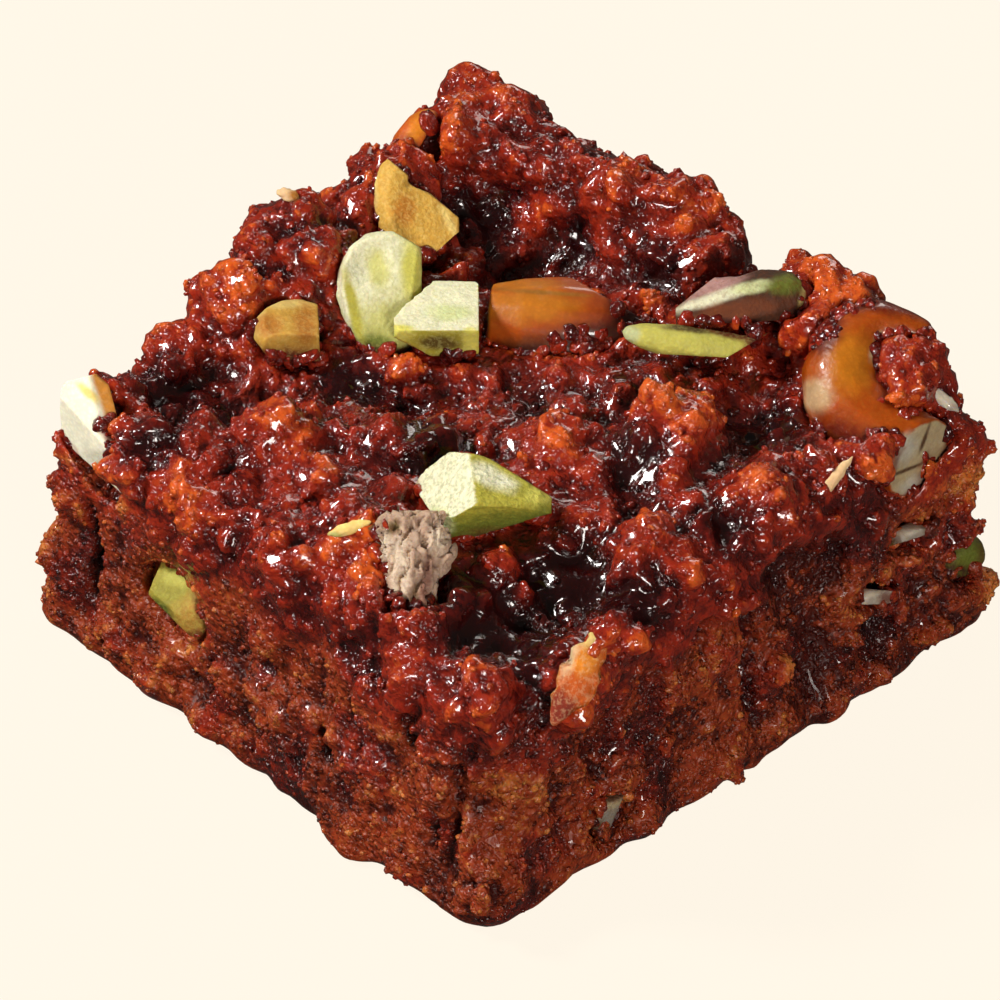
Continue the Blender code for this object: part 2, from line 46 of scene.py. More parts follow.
# Halwa block: milk cooked down with sprouted wheat, sugar and ghee until it is dark and stiff, pressed in a
# tray and cut. Its crumb clings together in glossy clumps where it was spooned out on top, and is torn and
# drier on the cut sides; syrup has run into the hollows. Its colour is also painted darker in the hollows and
# lighter on what stands out, as painted shade and painted light.
SMOOTH_SKIN = 0.9 * MM
ROUGH_SKIN = 0.4 * MM
FINE_SKIN = 0.21 * MM
BLOCK_TRIANGLES = 196000
CLUMPS = (
    {"Density": 0.16e6, "Smallest": 1.8 * MM, "Largest": 3.4 * MM, "Roundness": 2, "Side Share": 0.22,
     "Rim Share": 0.0, "Seed": 11},
    {"Density": 0.70e6, "Smallest": 1.0 * MM, "Largest": 2.0 * MM, "Roundness": 2, "Side Share": 0.55,
     "Rim Share": 0.3, "Seed": 12},
    {"Density": 0.75e6, "Smallest": 0.6 * MM, "Largest": 1.1 * MM, "Roundness": 1, "Side Share": 0.80,
     "Rim Share": 2.5, "Seed": 13},
)
TEARS = {
    "Lump Size": 4.2 * MM, "Lump Height": 3.2 * MM, "Tear Width": 5.5 * MM, "Tear Depth": 1.7 * MM,
    "Top Edge": 16.0 * MM, "Side Shrink": 0.35 * MM, "Top Shrink": 0.3 * MM, "Base Flare": 0.4 * MM,
    "Nut Swell": 0.35 * MM,
}
LEVELS = {"Spread": 10, "Full Rise": 0.12 * MM, "Top Edge": 14.5 * MM}
CUT_EDGE = (20.5 * MM, 22.5 * MM)
SYRUP_POOLS = (
    ((-13.5, -20.0, 21.5), 2.2), ((-12.5, -14.0, 19.0), 2.4), ((1.0, -7.0, 21.5), 2.3),
    ((-9.5, -5.0, 20.0), 2.0), ((13.0, -16.0, 19.0), 3.6), ((17.5, -15.5, 18.0), 3.6),
    ((14.5, -8.5, 18.5), 2.8), ((20.5, -7.5, 19.5), 2.2), ((15.0, 12.0, 19.5), 2.6),
    ((-1.5, 16.5, 22.0), 1.8), ((-9.0, 17.0, 19.5), 2.0), ((20.0, 1.0, 20.5), 2.0),
    ((11.5, 1.5, 21.5), 1.8), ((-15.5, 12.5, 20.0), 2.4), ((-18.5, -15.0, 19.0), 2.6),
    ((-15.5, -4.0, 19.5), 1.8),
)
SOAKED_SIDES = (
    ((23.5, -23.5, 3.0), 4.5), ((23.6, 17.0, 5.0), 5.0), ((23.6, 8.0, 3.5), 4.0),
    ((-13.0, -24.0, 9.0), 3.0), ((23.6, 12.0, 15.0), 4.0), ((5.0, -24.0, 4.0), 3.5),
    ((23.6, -9.0, 4.0), 3.0), ((-20.0, -24.0, 6.0), 2.5),
)
# Orange spots on the halwa: partly orange crumb and glazed bits, partly a painted glow of light through thin
# crags and top edges.
AMBER_BITS_AND_GLOW = (
    ((-6.0, -14.0, 22.5), 1.6), ((-9.5, -21.5, 19.5), 2.0), ((-6.0, -23.0, 19.5), 1.6),
    ((23.5, -16.0, 20.5), 2.2), ((21.5, -21.5, 7.0), 2.0), ((21.0, -20.5, 12.5), 1.6),
    ((22.0, -20.5, 0.5), 1.2), ((13.5, -23.5, 7.0), 1.4), ((19.5, 3.5, 22.0), 1.8),
    ((7.5, -2.5, 21.5), 2.6), ((11.5, 6.0, 23.5), 3.0), ((-6.5, 20.5, 25.0), 2.2),
    ((12.0, 21.5, 25.0), 2.0), ((4.5, -19.5, 20.5), 2.2), ((-4.0, -15.5, 21.0), 2.6),
    ((-20.0, -8.0, 23.5), 2.4), ((-20.0, 18.0, 25.5), 2.2), ((-11.5, 15.5, 20.5), 1.8),
    ((-1.0, 21.0, 24.0), 2.2), ((23.5, 22.5, 13.5), 2.0),
)
SYRUP_BLACK = (0.018, 0.0016, 0.0018)
TOP_MAROON = (0.078, 0.0050, 0.0034)
TOP_RED = (0.26, 0.018, 0.0065)
TOP_AMBER = (0.62, 0.105, 0.014)
SIDE_DARK = (0.045, 0.0042, 0.0022)
SIDE_BROWN = (0.25, 0.032, 0.0075)
SIDE_TAN = (0.55, 0.17, 0.035)


def place_node(tree, kind, settings=(), **inputs):
    """Adds a node: settings are its own options, inputs a value or a socket to link from for each name."""
    node = tree.nodes.new(kind)
    for option, value in dict(settings).items():
        setattr(node, option, value)
    for name, value in inputs.items():
        wanted = name.replace("_", " ").lower()
        socket = next(s for s in node.inputs if s.enabled and s.name.lower() == wanted)
        connect(tree, value, socket)
    return node


def connect(tree, value, socket):
    if isinstance(value, bpy.types.NodeSocket):
        tree.links.new(value, socket)
    elif isinstance(value, tuple) and len(value) == 3 and socket.type == "RGBA":
        socket.default_value = (*value, 1)
    else:
        socket.default_value = value


def maths(tree, operation, *values):
    node = tree.nodes.new("ShaderNodeMath")
    node.operation = operation
    for value, socket in zip(values, node.inputs):
        connect(tree, value, socket)
    return node.outputs[0]


def times(tree, *values):
    return maths(tree, "MULTIPLY", *values)


def plus(tree, *values):
    return maths(tree, "ADD", *values)


def minus(tree, *values):
    return maths(tree, "SUBTRACT", *values)


def add_share(tree, value, share, total):
    return maths(tree, "MULTIPLY_ADD", value, share, total)


def vector_maths(tree, operation, *values):
    node = tree.nodes.new("ShaderNodeVectorMath")
    node.operation = operation
    sockets = [s for s in node.inputs if s.enabled]
    if operation == "SCALE":
        sockets = [node.inputs[0], node.inputs["Scale"]]
    for value, socket in zip(values, sockets):
        connect(tree, value, socket)
    return node.outputs["Value" if operation == "DOT_PRODUCT" else "Vector"]


def remap(tree, value, low, high, to_low=0.0, to_high=1.0):
    """value from low..high to to_low..to_high, eased at both ends."""
    node = tree.nodes.new("ShaderNodeMapRange")
    node.interpolation_type = "SMOOTHSTEP"
    for number, socket in zip((value, low, high, to_low, to_high), node.inputs):
        connect(tree, number, socket)
    return node.outputs[0]


def blend_colour(tree, share, first, second):
    node = tree.nodes.new("ShaderNodeMix")
    node.data_type = "RGBA"
    connect(tree, share, node.inputs["Factor"])
    colours = [s for s in node.inputs if s.type == "RGBA"]
    connect(tree, first, colours[0])
    connect(tree, second, colours[1])
    return next(s for s in node.outputs if s.type == "RGBA")


def graded(tree, level, colour, *steps):
    """The first colour, with each of the next blended in between two levels."""
    for low, high, following in steps:
        colour = blend_colour(tree, remap(tree, level, low, high), colour, following)
    return colour


def cloudy(tree, spot, scale, detail, **more):
    """A cloudy pattern: first its level from 0 to 1, then three such levels as a colour."""
    return place_node(tree, "ShaderNodeTexNoise", Vector=spot, Scale=scale, Detail=detail, **more).outputs


def parts_of(tree, vector):
    return place_node(tree, "ShaderNodeSeparateXYZ", Vector=vector).outputs


def live_output(node):
    return next(s for s in node.outputs if s.enabled)


def new_tree(name, kind, inputs, outputs):
    """An empty node tree with the named inputs and outputs."""
    tree = bpy.data.node_groups.new(name, kind + "NodeTree")
    for way, sockets in (("INPUT", inputs), ("OUTPUT", outputs)):
        for label, sort in sockets.items():
            tree.interface.new_socket(label, in_out=way, socket_type="NodeSocket" + sort)
    return tree, tree.nodes.new("NodeGroupInput").outputs, tree.nodes.new("NodeGroupOutput").inputs


def new_shape_tree(name, values):
    """An empty Geometry Nodes tree with a geometry in and out, and an input for each of the named values."""
    shape = {"Geometry": "Geometry"}
    numbers = {label: "Int" if isinstance(value, int) else "Float" for label, value in values.items()}
    tree, given, put = new_tree(name, "Geometry", shape | numbers, shape)
    return tree, given, put[0]


def place_and_height(tree):
    place = place_node(tree, "GeometryNodeInputPosition").outputs[0]
    return place, parts_of(tree, place)["Z"]


def read_level(tree, name):
    return place_node(
        tree, "GeometryNodeInputNamedAttribute", {"data_type": "FLOAT"}, Name=name
    ).outputs[0]


def keep_level(tree, geometry, name, value, domain="POINT"):
    return place_node(
        tree, "GeometryNodeStoreNamedAttribute", {"data_type": "FLOAT", "domain": domain},
        Geometry=geometry, Name=name, Value=value,
    ).outputs[0]


def run_tree(item, tree, values):
    """Runs the tree on the object with these inputs and returns the finished plain mesh."""
    modifier = item.modifiers.new(tree.name, "NODES")
    modifier.node_group = tree
    for label, value in values.items():
        socket = next(s for s in tree.interface.items_tree if s.name == label and s.in_out == "INPUT")
        modifier[socket.identifier] = value
    graph = bpy.context.evaluated_depsgraph_get()
    mesh = bpy.data.meshes.new_from_object(item.evaluated_get(graph))
    item.modifiers.remove(modifier)
    return mesh


def new_object(name, mesh):
    item = bpy.data.objects.new(name, mesh)
    bpy.context.scene.collection.objects.link(item)
    return item


def copy_of_solid(node, name):
    """A new object with the node's mesh, its loose triangles merged."""
    shell = bmesh.new()
    shell.from_mesh(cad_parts[node].data)
    bmesh.ops.remove_doubles(shell, verts=shell.verts, dist=0.002 * MM)
    mesh = bpy.data.meshes.new(name)
    shell.to_mesh(mesh)
    shell.free()
    return new_object(name, mesh)


def reskinned(item, voxel, smoothing, triangles=0):
    """Gives the object an even skin of small faces, thinned to so many triangles where a number is given."""
    skin = item.modifiers.new("even skin", "REMESH")
    skin.mode = "VOXEL"
    skin.voxel_size = voxel
    soften = item.modifiers.new("soften", "SMOOTH")
    soften.factor = 0.5
    soften.iterations = smoothing
    keep_modifiers(item)
    faces = 2 * len(item.data.polygons)
    if triangles and faces > triangles:
        item.modifiers.new("thin", "DECIMATE").ratio = triangles / faces
        keep_modifiers(item)


def keep_modifiers(item):
    graph = bpy.context.evaluated_depsgraph_get()
    mesh = bpy.data.meshes.new_from_object(item.evaluated_get(graph))
    item.modifiers.clear()
    item.data = mesh


def write_level(mesh, name, levels):
    stored = mesh.attributes.get(name) or mesh.attributes.new(name, "FLOAT", "POINT")
    stored.data.foreach_set("value", levels)


def height_over(mesh, surface):
    """For each vertex, its height in millimetres over another surface, below it negative."""
    levels = []
    for vertex in mesh.vertices:
        near, normal, _, _ = surface.find_nearest(vertex.co)
        levels.append((vertex.co - near).dot(normal) / MM)
    return levels


def finish_piece(item, slot, *nodes):
    for face in item.data.polygons:
        face.use_smooth = True
    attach(item, "root")
    if nodes:
        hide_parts(*nodes)


def grain_group():
    """Crumb of the halwa: two sizes of round grain, as a height for a Bump node and a shade for each."""
    tree, given, put = new_tree(
        "crumb grain", "Shader",
        {"Coarse Grain": "Float", "Fine Grain": "Float", "Fine Share": "Float", "Vector": "Vector"},
        {"Height": "Float", "Shade": "Float"},
    )
    wobble = cloudy(tree, given["Vector"], 900.0, 2.0)["Color"]
    spot = vector_maths(tree, "ADD", given["Vector"], vector_maths(tree, "SCALE", wobble, 0.7 * MM))
    heights = []
    shades = []
    for label in ("Coarse Grain", "Fine Grain"):
        scale = maths(tree, "DIVIDE", 1.0, given[label])
        grains = place_node(tree, "ShaderNodeTexVoronoi", {"feature": "F1"}, Vector=spot, Scale=scale)
        heights.append(remap(tree, grains.outputs["Distance"], 0.0, 0.62, 1.0, 0.0))
        shades.append(grains.outputs["Color"])
    fine = times(tree, heights[1], given["Fine Share"])
    tree.links.new(plus(tree, heights[0], fine), put["Height"])
    shade = parts_of(tree, vector_maths(tree, "ADD", *shades))[0]
    tree.links.new(times(tree, shade, 0.5), put["Shade"])
    return tree


crumb_grain = grain_group()


def use_group(tree, group, **inputs):
    node = tree.nodes.new("ShaderNodeGroup")
    node.node_tree = group
    for name, value in inputs.items():
        connect(tree, value, node.inputs[name.replace("_", " ")])
    return node.outputs


def new_material(name):
    made = bpy.data.materials.new(name)
    made.use_nodes = True
    return made, made.node_tree, made.node_tree.nodes["Principled BSDF"].inputs


def stored_level(tree, name):
    return place_node(tree, "ShaderNodeAttribute", {"attribute_name": name}).outputs["Fac"]


def halwa_material(name, loose_grain):
    """Dark syrupy halwa. It reads levels written on the mesh: rise (millimetres over the block's smooth
    shape), ridge (the same at the size of a grain), top, pool and amber; loose grains have a tone each.
    Rise and ridge paint the hollows darker, as painted shade, and what stands out lighter, as painted light;
    amber is orange crumb with a painted glow; the colour also darkens towards the base."""
    made, tree, shader = new_material(name)
    spot = place_node(tree, "ShaderNodeTexCoord").outputs["Object"]
    top = stored_level(tree, "top")
    pool = stored_level(tree, "pool")
    syrupy = cloudy(tree, spot, 170.0, 3.0, Roughness=0.55)[0]
    wet = maths(tree, "MAXIMUM", top, remap(tree, syrupy, 0.47, 0.58, 0.0, 0.9))
    patches = cloudy(tree, spot, 260.0, 3.0, Roughness=0.6)[0]
    streaks = cloudy(tree, spot, 1100.0, 2.0, Roughness=0.6)[0]
    grain = use_group(
        tree, crumb_grain, Vector=spot, Coarse_Grain=0.62 * MM, Fine_Grain=0.30 * MM, Fine_Share=0.45
    )
    lift = times(tree, minus(tree, patches, 0.5), 1.4)
    lift = add_share(tree, minus(tree, streaks, 0.5), 0.8, lift)
    lift = add_share(tree, minus(tree, grain["Shade"], 0.5), 0.5, lift)
    # Ridge and rise: painted shade in the hollows and painted light on what stands out. Amber: orange crumb
    # with a painted glow through thin edges.
    for level, share in (("ridge", 0.10), ("rise", 0.26), ("amber", 0.42), ("pool", -0.75)):
        lift = add_share(tree, stored_level(tree, level), share, lift)
    # Darker over the lowest 3.5 millimetres of the block.
    lift = plus(tree, lift, remap(tree, parts_of(tree, spot)["Z"], 0.0, 3.5 * MM, -0.45, 0.0))
    if loose_grain:
        lift = add_share(tree, minus(tree, stored_level(tree, "tone"), 0.42), 0.7, lift)
    top_colour = graded(
        tree, lift, SYRUP_BLACK, (-0.75, -0.15, TOP_MAROON), (-0.25, 0.38, TOP_RED), (0.35, 1.05, TOP_AMBER)
    )
    side_colour = graded(tree, lift, SIDE_DARK, (-0.50, 0.12, SIDE_BROWN), (0.12, 0.80, SIDE_TAN))
    connect(tree, blend_colour(tree, wet, side_colour, top_colour), shader["Base Color"])
    dull = times(tree, streaks, 0.16)
    connect(tree, plus(tree, remap(tree, wet, 0.0, 1.0, 0.34, 0.12), dull), shader["Roughness"])
    connect(tree, remap(tree, wet, 0.0, 1.0, 0.10, 0.6), shader["Coat Weight"])
    shader["Coat Roughness"].default_value = 0.05
    shader["Subsurface Weight"].default_value = 0.35
    shader["Subsurface Radius"].default_value = (1.0, 0.20, 0.05)
    shader["Subsurface Scale"].default_value = 1.3 * MM
    shader["Specular IOR Level"].default_value = 0.3
    depth = times(tree, remap(tree, pool, 0.4, 0.9, 1.0, 0.35), remap(tree, top, 0.0, 1.0, 1.8, 1.0))
    bump = place_node(
        tree, "ShaderNodeBump", Strength=0.9, Distance=0.13 * MM, Height=times(tree, grain["Height"], depth)
    )
    connect(tree, bump.outputs["Normal"], shader["Normal"])
    return made


def scatter_crumbs(tree, surface, given, density, squash, roundness, sunk):
    """Balls of crumb over a surface, each squashed between the two limits of squash, turned its own way,
    sunk by a share of its size, and given its own tone."""
    def drawn(low, high, step):
        kind = "FLOAT_VECTOR" if isinstance(low, tuple) else "FLOAT"
        seed = plus(tree, given["Seed"], step)
        return live_output(place_node(
            tree, "FunctionNodeRandomValue", {"data_type": kind}, Min=low, Max=high, Seed=seed
        ))

    points = place_node(
        tree, "GeometryNodeDistributePointsOnFaces", {"distribute_method": "RANDOM"}, Mesh=surface,
        Density=density, Seed=given["Seed"],
    )
    size = drawn(given["Smallest"], given["Largest"], 0)
    down = vector_maths(tree, "SCALE", points.outputs["Normal"], times(tree, size, -sunk))
    lowered = place_node(tree, "GeometryNodeSetPosition", Geometry=points.outputs["Points"], Offset=down)
    ball = place_node(tree, "GeometryNodeMeshIcoSphere", Radius=0.5, Subdivisions=roundness)
    balls = place_node(
        tree, "GeometryNodeInstanceOnPoints", Points=lowered.outputs[0], Instance=ball.outputs[0],
        Rotation=drawn((0.0, 0.0, 0.0), (math.tau, math.tau, math.tau), 5),
        Scale=vector_maths(tree, "SCALE", drawn(*squash, 3), size),
    )
    toned = keep_level(tree, balls.outputs[0], "tone", drawn(0.0, 1.0, 7), "INSTANCE")
    return place_node(tree, "GeometryNodeRealizeInstances", Geometry=toned).outputs[0]


def dented(tree, geometry, scale, depth):
    """The crumbs pressed out of round."""
    place = place_node(tree, "GeometryNodeInputPosition").outputs[0]
    dent = cloudy(tree, place, scale, 2.0)["Color"]
    push = vector_maths(tree, "SCALE", vector_maths(tree, "SUBTRACT", dent, (0.5, 0.5, 0.5)), depth)
    return place_node(tree, "GeometryNodeSetPosition", Geometry=geometry, Offset=push).outputs[0]


def clump_tree():
    """Presses irregular clumps of crumb into the block's skin, half sunk, and joins them to it. They keep
    clear of the nuts, but small ones gather round those on top."""
    tree, given, result = new_shape_tree("halwa clumps", CLUMPS[0])
    place = place_node(tree, "GeometryNodeInputPosition").outputs[0]
    parts = parts_of(tree, place)
    height = parts["Z"]
    edge = maths(tree, "MAXIMUM", maths(tree, "ABSOLUTE", parts["X"]), maths(tree, "ABSOLUTE", parts["Y"]))
    rim = times(tree, given["Rim Share"], remap(tree, edge, *CUT_EDGE, 1.0, 0.0))
    gap = read_level(tree, "nut_gap")
    uneven = cloudy(tree, place, 330.0, 1.0)[0]
    wanted = times(tree, remap(tree, gap, 0.35, 1.35), remap(tree, height, 1.0 * MM, 3.0 * MM))
    wanted = times(tree, wanted, remap(tree, height, 13 * MM, 18 * MM, given["Side Share"], 1.0))
    wanted = times(tree, wanted, remap(tree, uneven, 0.36, 0.58, 0.15, 1.0))
    wanted = add_share(tree, remap(tree, gap, 0.9, 1.6, 1.0, 0.0), rim, wanted)
    density = times(tree, given["Density"], wanted)
    squash = ((0.55, 0.55, 0.5), (1.35, 1.35, 1.0))
    crumbs = scatter_crumbs(tree, given["Geometry"], given, density, squash, given["Roundness"], 0.22)
    joined = tree.nodes.new("GeometryNodeJoinGeometry")
    tree.links.new(dented(tree, crumbs, 900.0, 1.0 * MM), joined.inputs[0])
    tree.links.new(given["Geometry"], joined.inputs[0])
    tree.links.new(joined.outputs[0], result)
    return tree


def tear_tree():
    """Heaves the block's skin in lumps, tears its cut sides in upright folds and closes it on the nuts."""
    tree, given, result = new_shape_tree("halwa tears", TEARS)
    place, height = place_and_height(tree)
    normal = place_node(tree, "GeometryNodeInputNormal").outputs[0]
    top = remap(tree, minus(tree, height, given["Top Edge"]), -1.5 * MM, 1.5 * MM)
    lump = cloudy(tree, place, maths(tree, "DIVIDE", 1.0, given["Lump Size"]), 2.0, Roughness=0.5)[0]
    lump_rise = times(tree, minus(tree, lump, 0.52), given["Lump Height"])
    lump_rise = times(tree, lump_rise, remap(tree, top, 0.0, 1.0, 0.45, 1.0))
    upright = vector_maths(tree, "MULTIPLY", place, (1.0, 1.0, 0.2))
    tear = cloudy(tree, upright, maths(tree, "DIVIDE", 1.0, given["Tear Width"]), 2.0, Distortion=0.3)[0]
    fold = remap(tree, tear, 0.34, 0.46, -1.0, 0.15)
    off_base = remap(tree, height, 0.5 * MM, 6 * MM, 0.3, 1.0)
    tear_share = times(tree, off_base, remap(tree, top, 0.0, 1.0, 1.0, 0.0))
    tear_rise = times(tree, times(tree, fold, given["Tear Depth"]), tear_share)
    shrink = remap(tree, top, 0.0, 1.0, given["Side Shrink"], given["Top Shrink"])
    rise = minus(tree, plus(tree, lump_rise, tear_rise), shrink)
    far = remap(tree, read_level(tree, "nut_gap"), 0.6, 2.6)
    fill = times(tree, read_level(tree, "nut_fill"), given["Nut Swell"])
    rise = add_share(tree, rise, far, times(tree, minus(tree, 1.0, far), fill))
    rise = times(tree, rise, remap(tree, height, 0.0, 5.0 * MM, 0.1, 1.0))
    flare = times(tree, remap(tree, height, 0.5 * MM, 7 * MM, 1.0, 0.0), given["Base Flare"])
    push = vector_maths(tree, "SCALE", normal, rise)
    spread = vector_maths(tree, "SCALE", vector_maths(tree, "MULTIPLY", normal, (1.0, 1.0, 0.0)), flare)
    there = vector_maths(tree, "ADD", place, vector_maths(tree, "ADD", push, spread))
    moved = place_node(
        tree, "GeometryNodeSetPosition", Geometry=given["Geometry"],
        Position=vector_maths(tree, "MAXIMUM", there, (-1.0, -1.0, 0.0)),
    )
    tree.links.new(moved.outputs[0], result)
    return tree


def level_tree():
    """Writes ridge, how far a place stands out at the size of a grain, and top, from the sides to the top."""
    tree, given, result = new_shape_tree("halwa levels", LEVELS)
    place, height = place_and_height(tree)
    normal = place_node(tree, "GeometryNodeInputNormal").outputs[0]
    ragged = add_share(tree, minus(tree, cloudy(tree, place, 220.0, 3.0)[0], 0.5), 14 * MM, height)
    top = remap(tree, minus(tree, ragged, given["Top Edge"]), -2.2 * MM, 2.2 * MM)
    blurred = live_output(place_node(
        tree, "GeometryNodeBlurAttribute", {"data_type": "FLOAT_VECTOR"}, Value=place,
        Iterations=given["Spread"],
    ))
    proud = vector_maths(tree, "DOT_PRODUCT", vector_maths(tree, "SUBTRACT", place, blurred), normal)
    ridge = maths(tree, "DIVIDE", proud, given["Full Rise"])
    ridged = keep_level(tree, given["Geometry"], "ridge", ridge)
    tree.links.new(keep_level(tree, ridged, "top", top), result)
    return tree


def gathered(meshes):
    """The corners and the faces of several meshes as one."""
    corners = []
    faces = []
    for mesh in meshes:
        first = len(corners)
        corners.extend(vertex.co.copy() for vertex in mesh.vertices)
        faces.extend([first + index for index in face.vertices] for face in mesh.polygons)
    return corners, faces


def fill_levels(mesh):
    """How far the skin swells towards the nuts: not outwards on the cut sides, where it would bury them."""
    levels = []
    for vertex in mesh.vertices:
        across, along = abs(vertex.co.x), abs(vertex.co.y)
        outward = abs(vertex.normal.x if across > along else vertex.normal.y)
        levels.append(1.0 if max(across, along) < 21 * MM else 0.7 * (1 - outward))
    return levels


def spot_level(mesh, spots):
    """1 within 0.6 of its radius from the middle of each spot, fading to 0 at 1.6 times the radius."""
    levels = [0.0] * len(mesh.vertices)
    for middle, radius in spots:
        centre = Vector(middle) * MM
        reach = radius * 1.6 * MM
        for vertex in mesh.vertices:
            away = (vertex.co - centre).length
            if away < reach:
                share = 1 - away / reach
                levels[vertex.index] = max(levels[vertex.index], min(1.0, 1.6 * share))
    return levels


halwa = copy_of_solid("halwa", "halwa_block")
reskinned(halwa, SMOOTH_SKIN, 40)
smooth_shape = BVHTree.FromObject(halwa, bpy.context.evaluated_depsgraph_get())
bpy.data.objects.remove(halwa)
nuts = BVHTree.FromPolygons(*gathered(
    [node.data for name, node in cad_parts.items() if name != "halwa"]
))
halwa = copy_of_solid("halwa", "halwa_block")
reskinned(halwa, ROUGH_SKIN, 6)
gaps = [nuts.find_nearest(vertex.co)[3] / MM for vertex in halwa.data.vertices]
write_level(halwa.data, "nut_gap", gaps)
write_level(halwa.data, "nut_fill", fill_levels(halwa.data))
halwa.data = run_tree(halwa, tear_tree(), TEARS)
clumps = clump_tree()
for values in CLUMPS:
    halwa.data = run_tree(halwa, clumps, values)
reskinned(halwa, FINE_SKIN, 4, BLOCK_TRIANGLES)
halwa.data = run_tree(halwa, level_tree(), LEVELS)
# Rise is what the material turns into painted shade in the hollows and painted light on the crags.
write_level(halwa.data, "rise", height_over(halwa.data, smooth_shape))
soaked = 0.45 * np.array(spot_level(halwa.data, SOAKED_SIDES))
write_level(halwa.data, "pool", np.maximum(soaked, spot_level(halwa.data, SYRUP_POOLS)))
write_level(halwa.data, "amber", spot_level(halwa.data, AMBER_BITS_AND_GLOW))
halwa.data.materials.clear()
halwa.data.materials.append(halwa_material("halwa crumb", False))
finish_piece(halwa, "halwa", "halwa")

# Loose grains: the wheat and milk solids stand out of the syrup as small beads, glossy on the top and drier
# on the cut sides. They are the same cooked crumb, half sunk in the block.
GRAINS = {
    "halwa_top_grains": {
        "Density": 0.6e6, "Smallest": 0.35 * MM, "Largest": 0.85 * MM, "Top Share": 1.0, "Seed": 1,
    },
    "halwa_side_grains": {
        "Density": 2.7e6, "Smallest": 0.3 * MM, "Largest": 0.62 * MM, "Top Share": 0.0, "Seed": 3,
    },
}


def grains_tree(material):
    """Scatters grains on the block, each a ball of few faces squashed and turned its own way."""
    tree, given, result = new_shape_tree("halwa grains", GRAINS["halwa_top_grains"])
    place, height = place_and_height(tree)
    off = maths(tree, "ABSOLUTE", minus(tree, read_level(tree, "top"), given["Top Share"]))
    wanted = remap(tree, off, 0.35, 0.75, 1.0, 0.0)
    wanted = times(tree, wanted, remap(tree, read_level(tree, "pool"), 0.45, 0.9, 1.0, 0.15))
    wanted = times(tree, wanted, remap(tree, height, 0.6 * MM, 2.4 * MM))
    density = times(tree, given["Density"], wanted)
    squash = ((0.6, 0.6, 0.6), (1.5, 1.3, 1.0))
    real = scatter_crumbs(tree, given["Geometry"], given, density, squash, 1, 0.12)
    above = vector_maths(tree, "MAXIMUM", place, (-1.0, -1.0, 0.02 * MM))
    lifted = place_node(tree, "GeometryNodeSetPosition", Geometry=real, Position=above)
    painted = place_node(tree, "GeometryNodeSetMaterial", Geometry=lifted.outputs[0], Material=material)
    tree.links.new(painted.outputs[0], result)
    return tree


grain_crumb = halwa_material("halwa grains", True)
grain_tree = grains_tree(grain_crumb)
for name, values in GRAINS.items():
    grains = new_object(name, run_tree(halwa, grain_tree, values))
    finish_piece(grains, "halwa")

# Nuts: chopped pistachios, glazed cashews and almonds, stirred in and scattered on top before the halwa set.
# Each shows pale cut flesh, a darker rind, and where it touches the halwa a darker film, part syrupy glaze
# and part painted contact shade; a few strokes are painted highlights, painted light and a painted shadow.
# Places are as seen on the front corner, in millimetres across and up from the view's middle; colours are
# 0-255.
VIEW_MIDDLE = (-0.295, 0.325, 10.7)
VIEW_DISTANCE = 500.0
VIEW_ACROSS = (0.7071, 0.7071, 0.0)
VIEW_UP = (-0.4639, 0.4639, 0.7547)
VIEW_BACK = (0.5337, -0.5337, 0.6561)
NUT_SKIN = 0.15 * MM
# The brown the nuts darken towards where they touch the halwa: syrupy film and painted contact shade.
SYRUP_AND_CONTACT_SHADE = (0.30, 0.045, 0.015)
CUT_CREAM = (241, 238, 202)
PALE_GREEN = (218, 224, 164)
CUT_GREEN = (210, 206, 126)
GREEN_SHADE = (180, 178, 96)
YELLOW_GREEN = (222, 214, 98)
LEAF_GREEN = (184, 174, 62)
DEEP_GREEN = (112, 120, 38)
OLIVE = (98, 78, 26)
GOLD = (216, 166, 68)
PALE_GOLD = (238, 206, 120)
TOASTED = (194, 126, 40)
BURNT = (118, 56, 18)
HONEY = (238, 142, 26)
AMBER = (210, 92, 10)
RED_AMBER = (144, 40, 8)
GLARE_CREAM = (240, 198, 148)
NUT_WHITE = (238, 228, 204)
NUT_CREAM = (230, 206, 160)
NUT_GREY = (178, 164, 148)
NUT_SHADE = (118, 90, 60)
CRACK = (104, 68, 40)
ALMOND_SKIN = (206, 138, 54)
SKIN_BEIGE = (198, 168, 144)
# Painted highlight on the pistachio skin.
SKIN_HIGHLIGHT = (230, 208, 182)
SKIN_BROWN = (144, 100, 82)
SKIN_DARK = (70, 40, 22)
SKIN_PINK = (188, 142, 134)
PLAIN_NUT = {
    "slot": "pistachio", "gloss": 0.0, "wrinkle": 0.0, "smooth": 3, "shape": (), "covered": (),
}
